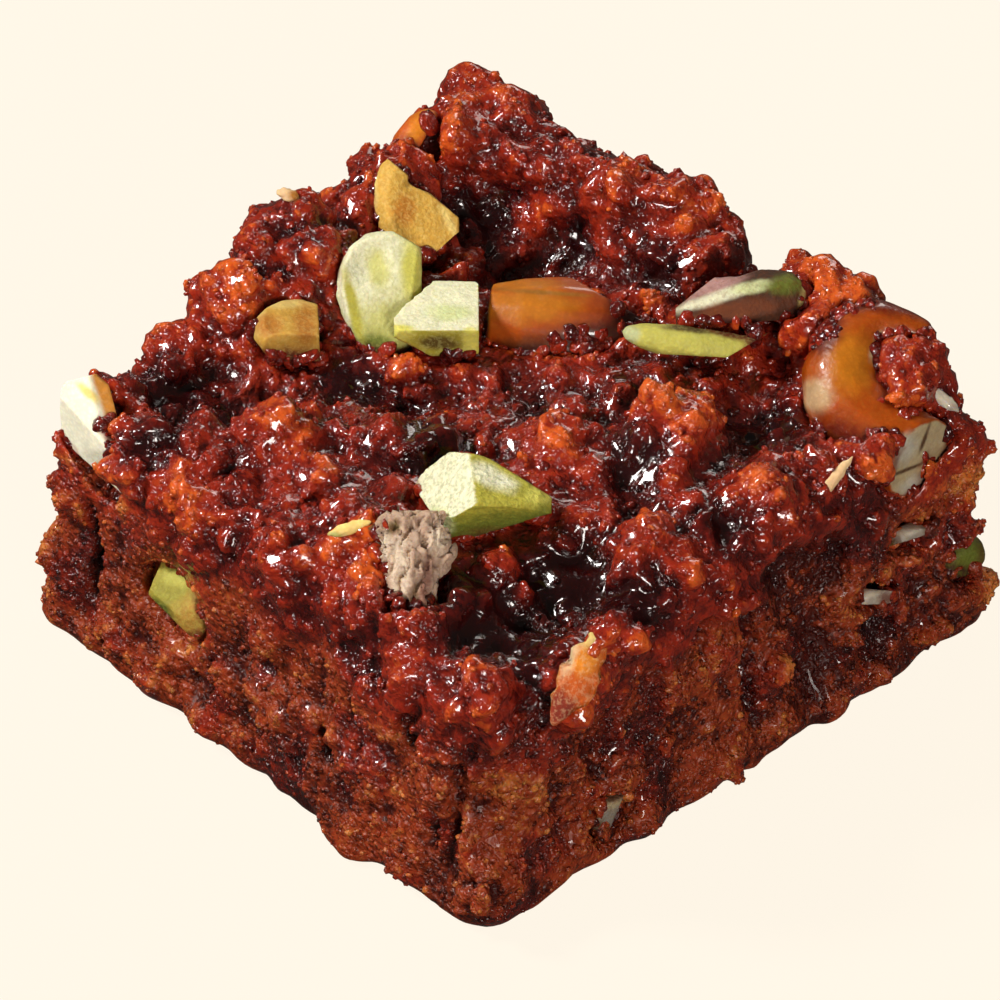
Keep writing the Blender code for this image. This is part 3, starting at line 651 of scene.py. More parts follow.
NUTS = {
    "pistachio_round": {
        "ground": CUT_GREEN, "fleck": GREEN_SHADE, "strength": 0.78, "grain": 0.5,
        "shape": (
            ("slice", (-11.0, 12.9), (-0.91, -0.41)), ("slice", (-5.5, 16.1), (1, 0)),
            ("slice", (-8.7, 10.3), (0, -1)), ("slice", (-7.0, 18.5), (0.5, 0.86)),
            ("push", (-9.2, 16.6), 2.1, -0.5),
        ),
        "paint": (
            ("dab", CUT_CREAM, (-9.4, 16.6), (2.9, 2.9), 0), ("dab", CUT_GREEN, (-8.5, 16.2), (0.8, 1.4), 10),
            ("dab", YELLOW_GREEN, (-6.2, 16.1), (0.7, 1.8), 0),
            ("beyond", GREEN_SHADE, (-9.1, 12.0), -90, 1.0), ("dab", DEEP_GREEN, (-8.7, 11.0), (1.2, 0.6), 0),
            ("dab", LEAF_GREEN, (-10.3, 13.6), (0.4, 2.4), 13),
            ("dab", CUT_CREAM, (-11.1, 14.3), (0.24, 3.1), 13),
        ),
    },
    "pistachio_block": {
        "ground": LEAF_GREEN, "fleck": CUT_GREEN, "strength": 0.84, "grain": 0.5,
        "shape": (
            ("slice", (-7.4, 12.6), (-1, 0)), ("slice", (-1.5, 14.0), (1, 0)),
            ("slice", (-4.2, 15.3), (0, 1)), ("slice", (-6.4, 13.9), (-0.76, 0.65)),
            ("slice", (-6.6, 11.0), (-0.45, -0.89)), ("slice", (-3.5, 10.0), (0.1, -1)),
        ),
        "paint": (
            # The top: pale cut flesh, made paler where it faces up, as painted light. The olive dab on the
            # front face is a painted shadow.
            ("side", CUT_CREAM, (0.0, 0.755, 0.656), 0.55, 0.75),
            ("dab", PALE_GREEN, (-3.4, 13.1), (1.5, 0.6), 0),
            ("dab", YELLOW_GREEN, (-2.0, 11.2), (0.6, 1.0), 0),
            ("dab", YELLOW_GREEN, (-6.9, 11.8), (0.8, 0.6), 0), ("dab", OLIVE, (-4.2, 11.0), (1.4, 0.5), 0),
            ("dab", CUT_CREAM, (-4.5, 12.3), (2.9, 0.17), -2),
        ),
        "covered": (((-3.0, 9.9), (1.8, 0.4)),),
    },
    "pistachio_golden": {
        "ground": GOLD, "fleck": PALE_GOLD, "strength": 0.88, "grain": 0.6, "smooth": 2,
        "shape": (
            ("slice", (-7.3, 23.4), (0.64, 0.77)), ("drag", (-5.6, 22.1), 1.2, (-0.70, 0.07)),
            ("slice", (-4.1, 17.7), (0.67, -0.74)), ("slice", (-2.9, 18.9), (1, 0)),
            ("slice", (-9.1, 21.0), (-1, 0)),
        ),
        "paint": (
            ("dab", PALE_GOLD, (-8.9, 21.1), (0.3, 2.4), -3),
            ("dab", PALE_GOLD, (-3.6, 19.5), (0.3, 1.2), 28), ("dab", TOASTED, (-6.7, 20.4), (0.8, 1.1), 0),
            ("dab", BURNT, (-5.6, 17.3), (0.8, 0.5), 0),
        ),
        "covered": (((-4.4, 17.1), (1.4, 0.4)),),
    },
    "pistachio_stub": {
        "ground": GOLD, "fleck": PALE_GOLD, "strength": 0.72, "grain": 0.4, "smooth": 5,
        "shape": (
            ("slice", (-12.7, 12.2), (1, 0.05)), ("slice", (-14.8, 14.1), (-0.06, 1)),
            ("slice", (-15.0, 9.7), (0, -1)), ("slice", (-17.3, 11.4), (-0.8, -0.6)),
            ("push", (-16.0, 12.1), 1.2, -0.25),
        ),
        "paint": (
            ("dab", PALE_GOLD, (-17.0, 12.9), (0.6, 1.3), 0),
            ("dab", PALE_GOLD, (-15.0, 13.8), (2.2, 0.4), 0), ("dab", TOASTED, (-16.2, 12.2), (1.0, 0.8), 0),
            ("dab", TOASTED, (-13.6, 12.3), (0.8, 1.4), 0), ("beyond", BURNT, (-15.0, 10.6), -90, 0.6),
        ),
        "covered": (((-15.0, 9.6), (2.6, 0.7)),),
    },
    "pistachio_front": {
        "ground": LEAF_GREEN, "fleck": DEEP_GREEN, "strength": 0.90, "grain": 0.65,
        "shape": (
            ("slice", (0.7, 2.0), (0.53, 0.85)), ("slice", (3.6, 0.0), (1, 0)),
            ("slice", (-6.1, 1.3), (-1, 0)), ("slice", (-2.8, -3.0), (-0.2, -1)),
            ("slice", (1.7, -1.5), (0.30, -0.95)), ("slice", (-4.9, -0.7), (-0.82, -0.57)),
            ("facet", (0.6, -0.6), 0.1, (0.12, -0.85, 0.5)),
            ("facet", (-4.2, -1.0), 0.1, (-0.62, -0.55, 0.56)),
        ),
        "paint": (
            ("dab", CUT_CREAM, (-0.6, 1.6), (1.7, 0.7), -25),
            ("dab", YELLOW_GREEN, (2.7, 0.2), (1.0, 0.6), 0), ("beyond", DEEP_GREEN, (0.0, -1.0), -82, 0.6),
            # The side stroke: pale cut flesh, made paler on the faces turned to the key light, as painted
            # light.
            ("dab", OLIVE, (-0.8, -2.4), (1.8, 0.5), 0), ("side", CUT_CREAM, (-0.83, 0.45, 0.32), 0.5, 0.7),
            ("dab", PALE_GREEN, (-4.3, -1.4), (1.0, 0.8), -30),
        ),
        "covered": (((0.4, -2.7), (3.0, 0.4)),),
    },
    "pistachio_skin": {
        "slot": "pistachio_skin", "ground": SKIN_BEIGE, "fleck": SKIN_BROWN, "strength": 0.80, "grain": 0.6,
        "wrinkle": 1.1, "smooth": 2,
        "shape": (
            ("drag", (-9.0, -6.3), 2.5, (0.77, 0.0)), ("drag", (-3.4, -6.3), 2.5, (-0.98, 0.0)),
            ("slice", (-6.3, -0.9), (0, 1)), ("slice", (-6.3, -8.3), (0, -1)),
            ("drag", (-8.7, -3.6), 0.8, (-0.21, 0.0)), ("drag", (-3.7, -3.5), 0.9, (0.28, 0.0)),
        ),
        "paint": (
            # The palest dabs are painted highlights on the skin.
            ("dab", SKIN_HIGHLIGHT, (-7.0, -5.0), (0.6, 2.5), 0), ("dab", OLIVE, (-7.5, -1.9), (0.4, 0.6), -35),
            ("dab", SKIN_BROWN, (-5.2, -5.9), (0.4, 2.1), -8),
            ("dab", SKIN_HIGHLIGHT, (-4.4, -2.9), (0.6, 0.9), 0), ("dab", SKIN_HIGHLIGHT, (-8.1, -3.2), (0.6, 0.8), 0),
            ("dab", NUT_SHADE, (-6.1, -7.0), (0.3, 1.1), -15),
        ),
        "covered": (((-6.4, -8.4), (2.2, 0.7)), ((-3.4, -6.4), (0.5, 1.2))),
    },
    "pistachio_purple": {
        "slot": "pistachio_skin", "ground": SKIN_DARK, "fleck": BURNT, "strength": 0.75, "grain": 0.45,
        "shape": (
            ("slice", (16.4, 12.4), (0.05, -1)), ("slice", (17.3, 16.1), (0, 1)),
            ("slice", (13.8, 14.6), (-0.62, 0.78)), ("slice", (21.4, 14.7), (1, 0)),
            ("slice", (12.3, 13.4), (-1, 0)), ("facet", (14.8, 15.1), 0.15, (-0.3, 0.75, 0.6)),
        ),
        "paint": (
            ("dab", SKIN_PINK, (14.8, 15.1), (2.4, 0.8), 22),
            ("dab", CUT_CREAM, (15.1, 14.1), (2.9, 0.4), 18),
            ("dab", PALE_GREEN, (17.7, 14.9), (1.5, 0.4), 12),
            ("dab", DEEP_GREEN, (20.0, 15.1), (1.3, 0.7), 10),
            ("dab", CUT_GREEN, (21.2, 14.3), (0.2, 1.1), -15), ("dab", BURNT, (16.4, 13.2), (3.4, 0.7), 10),
        ),
        "covered": (((16.0, 12.3), (3.4, 0.4)),),
    },
    "pistachio_sliver": {
        "ground": YELLOW_GREEN, "fleck": CUT_GREEN, "strength": 0.62, "grain": 0.45,
        "shape": (
            ("slice", (13.3, 10.1), (-0.05, -1)), ("slice", (8.5, 11.6), (-1, 0)),
            ("drag", (18.2, 9.9), 2.4, (0.0, 0.49)), ("slice", (16.4, 10.3), (0.5, -0.86)),
        ),
        "paint": (
            ("dab", PALE_GREEN, (9.1, 11.6), (0.7, 0.6), 0), ("dab", OLIVE, (13.3, 12.0), (1.7, 0.3), -5),
            ("dab", BURNT, (16.1, 11.7), (1.8, 0.4), -14), ("beyond", BURNT, (17.1, 11.2), 10, 0.6),
        ),
        "covered": (((18.2, 10.8), (0.8, 0.9)),),
    },
    "pistachio_left_face": {
        "ground": GOLD, "fleck": YELLOW_GREEN, "strength": 0.58, "grain": 0.5, "smooth": 4,
        "shape": (
            ("slice", (-24.3, -5.8), (-0.92, 0.38)), ("slice", (-19.4, -8.0), (1, 0)),
            ("slice", (-23.2, -8.0), (-0.7, -0.7)), ("slice", (-20.6, -5.9), (0.78, 0.63)),
            ("slice", (-21.7, -9.6), (-0.3, -1)), ("facet", (-21.8, -6.9), 0.35, (-0.35, 0.25, 0.9)),
        ),
        "paint": (
            ("dab", LEAF_GREEN, (-23.2, -6.0), (1.6, 1.6), 0),
            ("dab", YELLOW_GREEN, (-22.4, -5.4), (1.2, 0.6), 0), ("beyond", TOASTED, (-19.9, -7.6), -30, 0.6),
            ("dab", DEEP_GREEN, (-23.6, -7.8), (1.0, 0.5), -45),
        ),
        "covered": (((-19.6, -9.0), (0.8, 1.6)), ((-21.2, -9.7), (2.2, 0.6)), ((-20.0, -5.4), (0.6, 0.8))),
    },
    "pistachio_right_edge": {
        "ground": OLIVE, "fleck": DEEP_GREEN, "strength": 0.70, "grain": 0.5,
        "paint": (("dab", DEEP_GREEN, (32.6, -3.6), (0.8, 1.1), 0),),
        "covered": (((30.3, -3.6), (0.7, 1.6)), ((31.8, -5.2), (1.8, 0.6))),
    },
    "cashew_half": {
        "slot": "cashew", "ground": AMBER, "fleck": TOASTED, "strength": 0.52, "grain": 0.12,
        "gloss": 0.5, "smooth": 24,
        "shape": (
            ("slice", (2.8, 10.2), (0.05, -1)), ("slice", (7.0, 14.4), (0.5, 0.86)),
            ("push", (3.1, 14.5), 0.7, -0.12),
        ),
        "paint": (
            ("dab", HONEY, (2.1, 13.6), (3.2, 1.2), 0), ("dab", HONEY, (1.4, 15.1), (2.7, 0.4), 0),
            ("dab", TOASTED, (3.1, 14.5), (3.2, 0.15), -4), ("beyond", RED_AMBER, (7.0, 13.0), -20, 1.3),
            ("beyond", BURNT, (2.8, 11.4), -82, 0.7), ("dab", BURNT, (-1.1, 12.9), (0.3, 2.4), 0),
        ),
        "covered": (((9.6, 12.6), (1.8, 2.9)), ((7.2, 10.9), (4.0, 1.5)), ((3.0, 10.2), (4.2, 0.7))),
    },
    "cashew_curl": {
        "slot": "cashew", "ground": AMBER, "fleck": TOASTED, "strength": 0.55, "grain": 0.2,
        "gloss": 0.7, "smooth": 24,
        "paint": (
            ("dab", HONEY, (24.5, 9.6), (1.8, 2.0), 0), ("dab", RED_AMBER, (26.6, 13.9), (3.2, 0.8), -15),
            ("dab", RED_AMBER, (22.4, 11.6), (1.2, 1.6), -40),
            # The cream dab is a painted highlight on the glaze.
            ("dab", GLARE_CREAM, (22.1, 7.3), (1.0, 1.2), 0),
            ("dab", RED_AMBER, (23.8, 4.2), (2.9, 1.5), -20),
            ("side", NUT_CREAM, (0.707, -0.464, 0.534), 0.8, 0.93),
            ("dab", NUT_WHITE, (28.1, 3.5), (1.3, 0.8), 50), ("dab", NUT_WHITE, (29.4, 1.1), (1.4, 0.7), 20),
            ("dab", CRACK, (28.4, 2.1), (1.7, 0.13), 22), ("dab", CRACK, (29.7, 4.3), (0.12, 1.1), -20),
        ),
        "covered": (
            ((22.9, 3.4), (2.6, 1.5)), ((25.6, 1.4), (1.7, 1.2)), ((21.6, 12.4), (2.2, 1.8)),
            ((24.4, 14.0), (2.2, 1.0)), ((29.8, 10.6), (1.0, 1.4)),
        ),
    },
    "cashew_sliver": {
        "slot": "cashew", "ground": AMBER, "fleck": HONEY, "strength": 0.72, "grain": 0.2,
        "gloss": 0.4, "smooth": 12,
        "shape": (
            ("drag", (-5.3, 25.2), 4.5, (-0.8, 0.2)), ("slice", (-7.0, 26.0), (-0.78, 0.63)),
            ("slice", (-5.1, 25.6), (0.87, -0.49)),
        ),
        "paint": (
            ("dab", HONEY, (-5.6, 26.3), (0.6, 1.5), -30), ("dab", RED_AMBER, (-7.4, 23.9), (0.9, 0.8), 0),
        ),
        "covered": (((-6.7, 22.9), (1.6, 0.9)), ((-4.6, 24.6), (0.6, 2.1))),
    },
    "cashew_chip_low": {
        "slot": "nut_flesh", "ground": NUT_GREY, "fleck": NUT_SHADE, "strength": 0.50, "grain": 0.5,
        "shape": (
            ("slice", (8.1, -22.0), (0.92, -0.39)), ("slice", (6.2, -22.5), (-0.86, -0.51)),
            ("slice", (7.1, -20.4), (-0.27, 0.96)),
        ),
        "paint": (
            ("dab", NUT_CREAM, (7.9, -20.9), (0.8, 0.7), 0), ("dab", NUT_SHADE, (6.9, -23.1), (0.7, 0.7), 0),
        ),
        "covered": (((6.0, -21.6), (0.7, 1.6)), ((7.6, -23.4), (1.2, 0.6))),
    },
    "almond_wedge": {
        "slot": "nut_flesh", "ground": NUT_WHITE, "fleck": NUT_CREAM, "strength": 1.1, "grain": 0.15,
        "smooth": 2,
        "shape": (
            ("slice", (-26.6, 5.2), (0.966, 0.26)), ("slice", (-30.8, 5.6), (-1, 0.05)),
            ("slice", (-29.9, 8.4), (-0.25, 0.97)), ("slice", (-28.5, 2.3), (-0.67, -0.74)),
            ("facet", (-28.6, 4.6), 0.25, (-0.25, 0.1, 0.96)),
        ),
        "paint": (
            ("dab", NUT_CREAM, (-27.7, 1.4), (1.0, 0.8), 0), ("beyond", ALMOND_SKIN, (-27.3, 4.8), 18, 0.2),
            ("dab", PALE_GOLD, (-28.8, 7.5), (0.9, 0.3), -40), ("dab", BURNT, (-26.2, 2.8), (0.4, 1.5), 20),
        ),
    },
    "almond_chip_upper": {
        "slot": "nut_flesh", "ground": NUT_GREY, "fleck": NUT_WHITE, "strength": 0.66, "grain": 0.3,
        "gloss": 0.3,
        "shape": (
            ("slice", (28.3, -2.9), (0.3, -0.95)), ("slice", (27.8, -1.9), (-0.42, 0.9)),
        ),
        "paint": (
            ("dab", NUT_WHITE, (28.8, -2.0), (1.2, 0.4), 25), ("dab", NUT_SHADE, (30.0, -1.7), (0.5, 0.7), 0),
            ("dab", LEAF_GREEN, (26.9, -3.2), (0.6, 0.5), 0),
        ),
        "covered": (((30.4, -2.2), (0.5, 0.9)), ((28.0, -3.6), (2.0, 0.5))),
    },
    "almond_chip_lower": {
        "slot": "nut_flesh", "ground": NUT_GREY, "fleck": NUT_WHITE, "strength": 0.85, "grain": 0.3,
        "gloss": 0.3,
        "shape": (
            ("slice", (25.7, -6.2), (0.1, 1)), ("slice", (25.7, -7.3), (0, -1)),
        ),
        "paint": (("dab", NUT_WHITE, (25.2, -6.5), (0.9, 0.4), 0),),
        "covered": (((27.2, -7.1), (0.7, 0.7)), ((23.9, -6.2), (0.5, 0.7))),
    },
}


def in_view(mesh):
    """Each vertex across, up and towards the viewer in millimetres, and its normal in the same three ways."""
    count = len(mesh.vertices)
    places = np.empty(count * 3)
    mesh.vertices.foreach_get("co", places)
    normals = np.empty(count * 3)
    mesh.vertex_normals.foreach_get("vector", normals)
    ways = np.array((VIEW_ACROSS, VIEW_UP, VIEW_BACK)).T
    offset = (places.reshape(-1, 3) / MM - VIEW_MIDDLE) @ ways
    near = VIEW_DISTANCE / (VIEW_DISTANCE - offset[:, 2])
    seen = offset.copy()
    seen[:, 0] *= near
    seen[:, 1] *= near
    return places.reshape(-1, 3), offset, seen, normals.reshape(-1, 3) @ ways, ways


def eased(value, low, high):
    share = np.clip((value - low) / (high - low), 0.0, 1.0)
    return share * share * (3 - 2 * share)


def carve(mesh, strokes):
    """Shapes a nut with strokes placed as it is seen: slices and facets cut it flat, a drag pulls its outline
    over, and a push presses a place in or out."""
    for kind, spot, *rest in strokes:
        places, offset, seen, normals, ways = in_view(mesh)
        apart = seen[:, :2] - np.array(spot)
        away = np.hypot(apart[:, 0], apart[:, 1])
        if kind == "slice":
            way = np.array((*rest[0], 0.0)) / np.linalg.norm(rest[0])
            moved = -np.clip(apart @ way[:2], 0.0, None)[:, None] * way
        elif kind == "facet":
            depth, way = rest
            way = np.array(way) / np.linalg.norm(way)
            nearest = np.argmax(np.where(away < 0.5, offset[:, 2], -np.inf))
            over = (offset - offset[nearest]) @ way + depth
            moved = -np.clip(over, 0.0, None)[:, None] * way
        elif kind == "drag":
            reach, pull = rest
            moved = (1 - eased(away, 0.0, reach))[:, None] * np.array((*pull, 0.0))
        else:
            reach, depth = rest
            share = (1 - eased(away, 0.0, reach)) * eased(normals[:, 2], -0.1, 0.4)
            moved = (share * depth)[:, None] * normals
        places += (moved @ ways.T) * MM
        mesh.vertices.foreach_set("co", places.ravel())
        mesh.update()


def paint_light(colour, strength):
    """A colour of the list above, as a share of light for each of red, green and blue."""
    return np.minimum(0.88, strength * ((np.array(colour) / 255 + 0.055) / 1.055) ** 2.4)


def inside_oval(seen, normals, middle, half_size, turn, wobble, soft):
    """1 inside an oval of the view, fading to 0 over its rim, on the faces that look to the viewer."""
    angle = math.radians(turn)
    across, up = (seen[:, :2] - np.array(middle)).T
    right = (across * math.cos(angle) + up * math.sin(angle)) / half_size[0]
    rise = (up * math.cos(angle) - across * math.sin(angle)) / half_size[1]
    outside = eased(np.hypot(right, rise) + 0.25 * wobble, 1 - soft, 1 + soft)
    return (1 - outside) * eased(normals[:, 2], -0.35, 0.05)


def paint(mesh, values, syrup_and_shade, halwa_surface):
    """Writes tint, the nut's colour at each vertex: the ground, each stroke over it, and near the halwa a
    darker film, part syrupy glaze and part painted contact shade. It also writes the contact level, which is
    1 where the halwa clings to the nut."""
    places, _, seen, normals, _ = in_view(mesh)
    strength = values["strength"]
    wobble = np.array([noise.fractal(Vector(spot) / (0.9 * MM), 1.0, 2.0, 3) for spot in places])
    tint = np.tile(paint_light(values["ground"], strength), (len(places), 1))
    for kind, colour, *rest in values["paint"]:
        if kind == "dab":
            share = inside_oval(seen, normals, *rest, wobble, 0.5)
        elif kind == "beyond":
            middle, turn, soft = rest
            way = np.array((math.cos(math.radians(turn)), math.sin(math.radians(turn))))
            share = eased((seen[:, :2] - np.array(middle)) @ way + 0.5 * soft * wobble, -soft, soft)
        else:
            way, low, high = rest
            share = eased(normals @ np.array(way) + 0.08 * wobble, low, high)
        tint += (paint_light(colour, strength) - tint) * share[:, None]
    # Near the halwa and under the covered ovals the tint darkens: part syrupy film, part painted contact
    # shade.
    gaps = np.array([halwa_surface.find_nearest(Vector(spot))[3] / MM for spot in places])
    halwa_contact = (1 - eased(gaps + 0.3 * wobble, 0.1, 0.75)) * syrup_and_shade
    for middle, half_size in values["covered"]:
        halwa_contact = np.maximum(halwa_contact, inside_oval(seen, normals, middle, half_size, 0, wobble, 0.4))
    tint *= 1 - 0.8 * halwa_contact[:, None] * (1 - np.array(SYRUP_AND_CONTACT_SHADE))
    stored = mesh.attributes.new("tint", "FLOAT_COLOR", "POINT")
    stored.data.foreach_set("color", np.column_stack((tint, np.ones(len(tint)))).ravel())
    write_level(mesh, "halwa_contact", halwa_contact)


def kernel_group():
    """Flesh of a nut: its tint mottled and flecked, with a fine grain for a Bump node."""
    tree, given, put = new_tree(
        "kernel flesh", "Shader",
        {"Vector": "Vector", "Tint": "Color", "Fleck Colour": "Color", "Fleck Share": "Float"},
        {"Colour": "Color", "Height": "Float"},
    )
    broad = cloudy(tree, given["Vector"], 700.0, 3.0, Roughness=0.6)[0]
    fine = cloudy(tree, given["Vector"], 3000.0, 3.0, Roughness=0.7)[0]
    cells = place_node(tree, "ShaderNodeTexVoronoi", {"feature": "F1"}, Vector=given["Vector"], Scale=3300.0)
    pits = cells.outputs["Distance"]
    shade = times(tree, add_share(tree, broad, 0.5, 0.77), remap(tree, pits, 0.1, 0.7, 1.04, 0.92))
    mottled = vector_maths(tree, "SCALE", given["Tint"], shade)
    fleck = times(tree, remap(tree, fine, 0.46, 0.62), given["Fleck Share"])
    tree.links.new(blend_colour(tree, fleck, mottled, given["Fleck Colour"]), put["Colour"])
    tree.links.new(add_share(tree, pits, -0.35, add_share(tree, broad, 0.6, fine)), put["Height"])
    return tree


kernel_flesh = kernel_group()


def nut_material(name, values):
    made, tree, shader = new_material(name)
    spot = place_node(tree, "ShaderNodeTexCoord").outputs["Object"]
    tint = place_node(tree, "ShaderNodeAttribute", {"attribute_name": "tint"}).outputs["Color"]
    flesh = use_group(
        tree, kernel_flesh, Vector=spot, Tint=tint, Fleck_Share=values["grain"] * 0.6,
        Fleck_Colour=tuple(paint_light(values["fleck"], values["strength"])),
    )
    connect(tree, flesh["Colour"], shader["Base Color"])
    rough = 0.6 - 0.45 * values["gloss"]
    connect(tree, add_share(tree, flesh["Height"], 0.12, rough), shader["Roughness"])
    shader["Coat Weight"].default_value = values["gloss"]
    shader["Coat Roughness"].default_value = 0.08
    shader["Specular IOR Level"].default_value = 0.3
    shader["Subsurface Weight"].default_value = 0.25 + 0.3 * values["gloss"]
    shader["Subsurface Radius"].default_value = (1.0, 0.55, 0.2)
    shader["Subsurface Scale"].default_value = 0.9 * MM
    bump = place_node(
        tree, "ShaderNodeBump", Strength=0.9, Distance=0.2 * values["grain"] * MM, Height=flesh["Height"]
    )
    connect(tree, bump.outputs["Normal"], shader["Normal"])
    return made


def nut_tree():
    """Roughens a kernel, and wrinkles it upright where it has a dried skin."""
    sizes = ("Lump Size", "Lump Height", "Wrinkle Width", "Wrinkle Height")
    tree, given, result = new_shape_tree("nut relief", dict.fromkeys(sizes, 0.0))
    place = place_node(tree, "GeometryNodeInputPosition").outputs[0]
    normal = place_node(tree, "GeometryNodeInputNormal").outputs[0]
    lump = cloudy(tree, place, maths(tree, "DIVIDE", 1.0, given["Lump Size"]), 4.0, Roughness=0.6)[0]
    rise = times(tree, minus(tree, lump, 0.5), given["Lump Height"])
    ways = (VIEW_ACROSS, VIEW_UP, VIEW_BACK)
    across, up, near = [vector_maths(tree, "DOT_PRODUCT", place, way) for way in ways]
    upright = place_node(tree, "ShaderNodeCombineXYZ", X=across, Y=times(tree, up, 0.25), Z=near).outputs[0]
    width = maths(tree, "DIVIDE", 1.0, given["Wrinkle Width"])
    fold = remap(tree, cloudy(tree, upright, width, 3.0, Distortion=1.2)[0], 0.38, 0.58, -1.0, 0.3)
    rise = add_share(tree, fold, given["Wrinkle Height"], rise)
    moved = place_node(
        tree, "GeometryNodeSetPosition", Geometry=given["Geometry"],
        Offset=vector_maths(tree, "SCALE", normal, rise),
    )
    tree.links.new(moved.outputs[0], result)
    return tree


def finish_nut(nut, values, syrup_and_shade, *nodes):
    """Roughens, paints and finishes a nut or a flake, and notes its skin for the crumbs that cling to it."""
    nut.data = run_tree(nut, kernel_relief, {
        "Lump Size": 1.1 * MM, "Lump Height": 0.45 * values["grain"] * MM,
        "Wrinkle Width": 0.8 * MM, "Wrinkle Height": values["wrinkle"] * 0.5 * MM,
    })
    paint(nut.data, values, syrup_and_shade, halwa_skin)
    nut.data.materials.clear()
    nut.data.materials.append(nut_material(nut.name, values))
    finish_piece(nut, values["slot"], *nodes)


kernel_relief = nut_tree()
halwa_skin = BVHTree.FromObject(halwa, bpy.context.evaluated_depsgraph_get())
kernels = []
for name, own_values in NUTS.items():
    values = PLAIN_NUT | own_values
    nut = copy_of_solid(name, name + "_kernel")
    reskinned(nut, NUT_SKIN, values["smooth"])
    carve(nut.data, values["shape"])
    finish_nut(nut, values, 1.0, name)
    kernels.append(nut)

# Flakes: splinters of nut and one torn flake of crust that stuck to the halwa's skin. They are fused to the
# block's solid, so here each is a thin ragged lens laid where it is seen.
# How much of the darkening near the halwa, syrupy film and painted contact shade, the flakes get.
FLAKE_SYRUP_AND_SHADE = 0.15
PLAIN_FLAKE = PLAIN_NUT | {"slot": "nut_flesh"}
FLAKES = {
    "splinter_pale": {
        "seen": (-10.5, -2.0), "size": (3.1, 0.85, 0.5), "turn": 16, "lean": 0.7, "ragged": 0.5,
        "ground": PALE_GOLD, "fleck": CUT_CREAM, "strength": 0.95, "grain": 0.2,
        "paint": (("dab", GREEN_SHADE, (-11.7, -2.6), (0.6, 0.4), 0),),
    },
    "splinter_peach": {
        "seen": (23.3, 1.4), "size": (4.2, 0.75, 0.5), "turn": 51, "lean": 0.7, "ragged": 0.5,
        "ground": GLARE_CREAM, "fleck": NUT_CREAM, "strength": 0.9, "grain": 0.2,
        "paint": (("dab", TOASTED, (22.2, 0.0), (0.5, 0.5), 0),),
    },
    "chip_white": {
        "seen": (31.0, 7.0), "size": (2.7, 0.9, 0.5), "turn": -38, "lean": 0.7, "ragged": 0.5,
        "ground": NUT_WHITE, "fleck": NUT_GREY, "strength": 0.9, "grain": 0.15,
        "gloss": 0.3,
        "paint": (("dab", NUT_GREY, (31.8, 6.3), (0.5, 0.4), 0),),
    },
    "crumb_cream": {
        "seen": (-14.8, 21.7), "size": (1.8, 1.0, 0.5), "turn": -25, "lean": 0.6, "ragged": 0.6,
        "ground": GLARE_CREAM, "fleck": NUT_CREAM, "strength": 0.8, "grain": 0.3,
        "paint": (("dab", TOASTED, (-14.2, 21.3), (0.5, 0.4), 0),),
    },
    "crust_flake": {
        "seen": (5.5, -12.3), "size": (7.4, 2.4, 0.7), "turn": 62, "lean": 0.9, "ragged": 0.45,
        "slot": "halwa", "ground": AMBER, "fleck": GLARE_CREAM, "strength": 0.80, "grain": 0.5,
        "paint": (
            ("dab", HONEY, (5.9, -11.2), (1.0, 1.0), 0),
            ("dab", PALE_GOLD, (6.3, -9.4), (1.6, 0.8), 0),
            ("dab", GLARE_CREAM, (4.9, -11.0), (0.4, 1.4), -20),
            ("dab", RED_AMBER, (4.2, -14.6), (1.0, 1.3), 0),
        ),
    },
}


def lay_flake(name, values):
    """Lays a flake on the halwa where it is seen: lean 1 turns it flat to the viewer, 0 to the halwa."""
    across, up = values["seen"]
    ways = [Vector(way) for way in (VIEW_ACROSS, VIEW_UP, VIEW_BACK)]
    eye = Vector(VIEW_MIDDLE) + ways[2] * VIEW_DISTANCE
    hit = None
    while hit is None:
        aim = Vector(VIEW_MIDDLE) + ways[0] * across + ways[1] * up - eye
        hit, normal, _, _ = halwa_skin.ray_cast(eye * MM, aim.normalized())
        up -= 0.15
    facing = (normal * (1 - values["lean"]) + ways[2] * values["lean"]).normalized()
    angle = math.radians(values["turn"])
    along = ways[0] * math.cos(angle) + ways[1] * math.sin(angle)
    along = (along - facing * along.dot(facing)).normalized()
    aside = facing.cross(along)
    length, width, thickness = values["size"]
    shell = bmesh.new()
    bmesh.ops.create_icosphere(shell, subdivisions=4, radius=0.5)
    for vertex in shell.verts:
        x, y, z = vertex.co
        rough = noise.fractal(Vector((1.5 * x * length, 3.0 * y, width)), 1.0, 2.0, 4)
        ragged = max(0.15, 1 + values["ragged"] * rough)
        taper = 1 - 1.4 * x * x
        spot = along * x * length + aside * y * width * ragged * taper + facing * z * thickness * taper
        vertex.co = hit + (spot + facing * 0.35 * thickness) * MM
    mesh = bpy.data.meshes.new(name)
    shell.to_mesh(mesh)
    shell.free()
    return new_object(name, mesh)


for name, own_values in FLAKES.items():
    values = PLAIN_FLAKE | own_values
    finish_nut(lay_flake(name, values), values, FLAKE_SYRUP_AND_SHADE)

# Clinging crumbs: bits of the same halwa that stuck to the nuts where they were stirred in, along the line
# where each nut sinks into the block.
CLINGING = {"Density": 3.9e6, "Smallest": 0.5 * MM, "Largest": 1.6 * MM, "Seed": 21}


def joined_skins(items):
    """One mesh of the objects' faces, with their levels of contact with the halwa."""
    contact_levels = []
    for item in items:
        levels = np.empty(len(item.data.vertices))
        item.data.attributes["halwa_contact"].data.foreach_get("value", levels)
        contact_levels.extend(levels)
    corners, faces = gathered([item.data for item in items])
    joined = bpy.data.meshes.new("nut skins")
    joined.from_pydata(corners, [], faces)
    write_level(joined, "halwa_contact", contact_levels)
    return joined


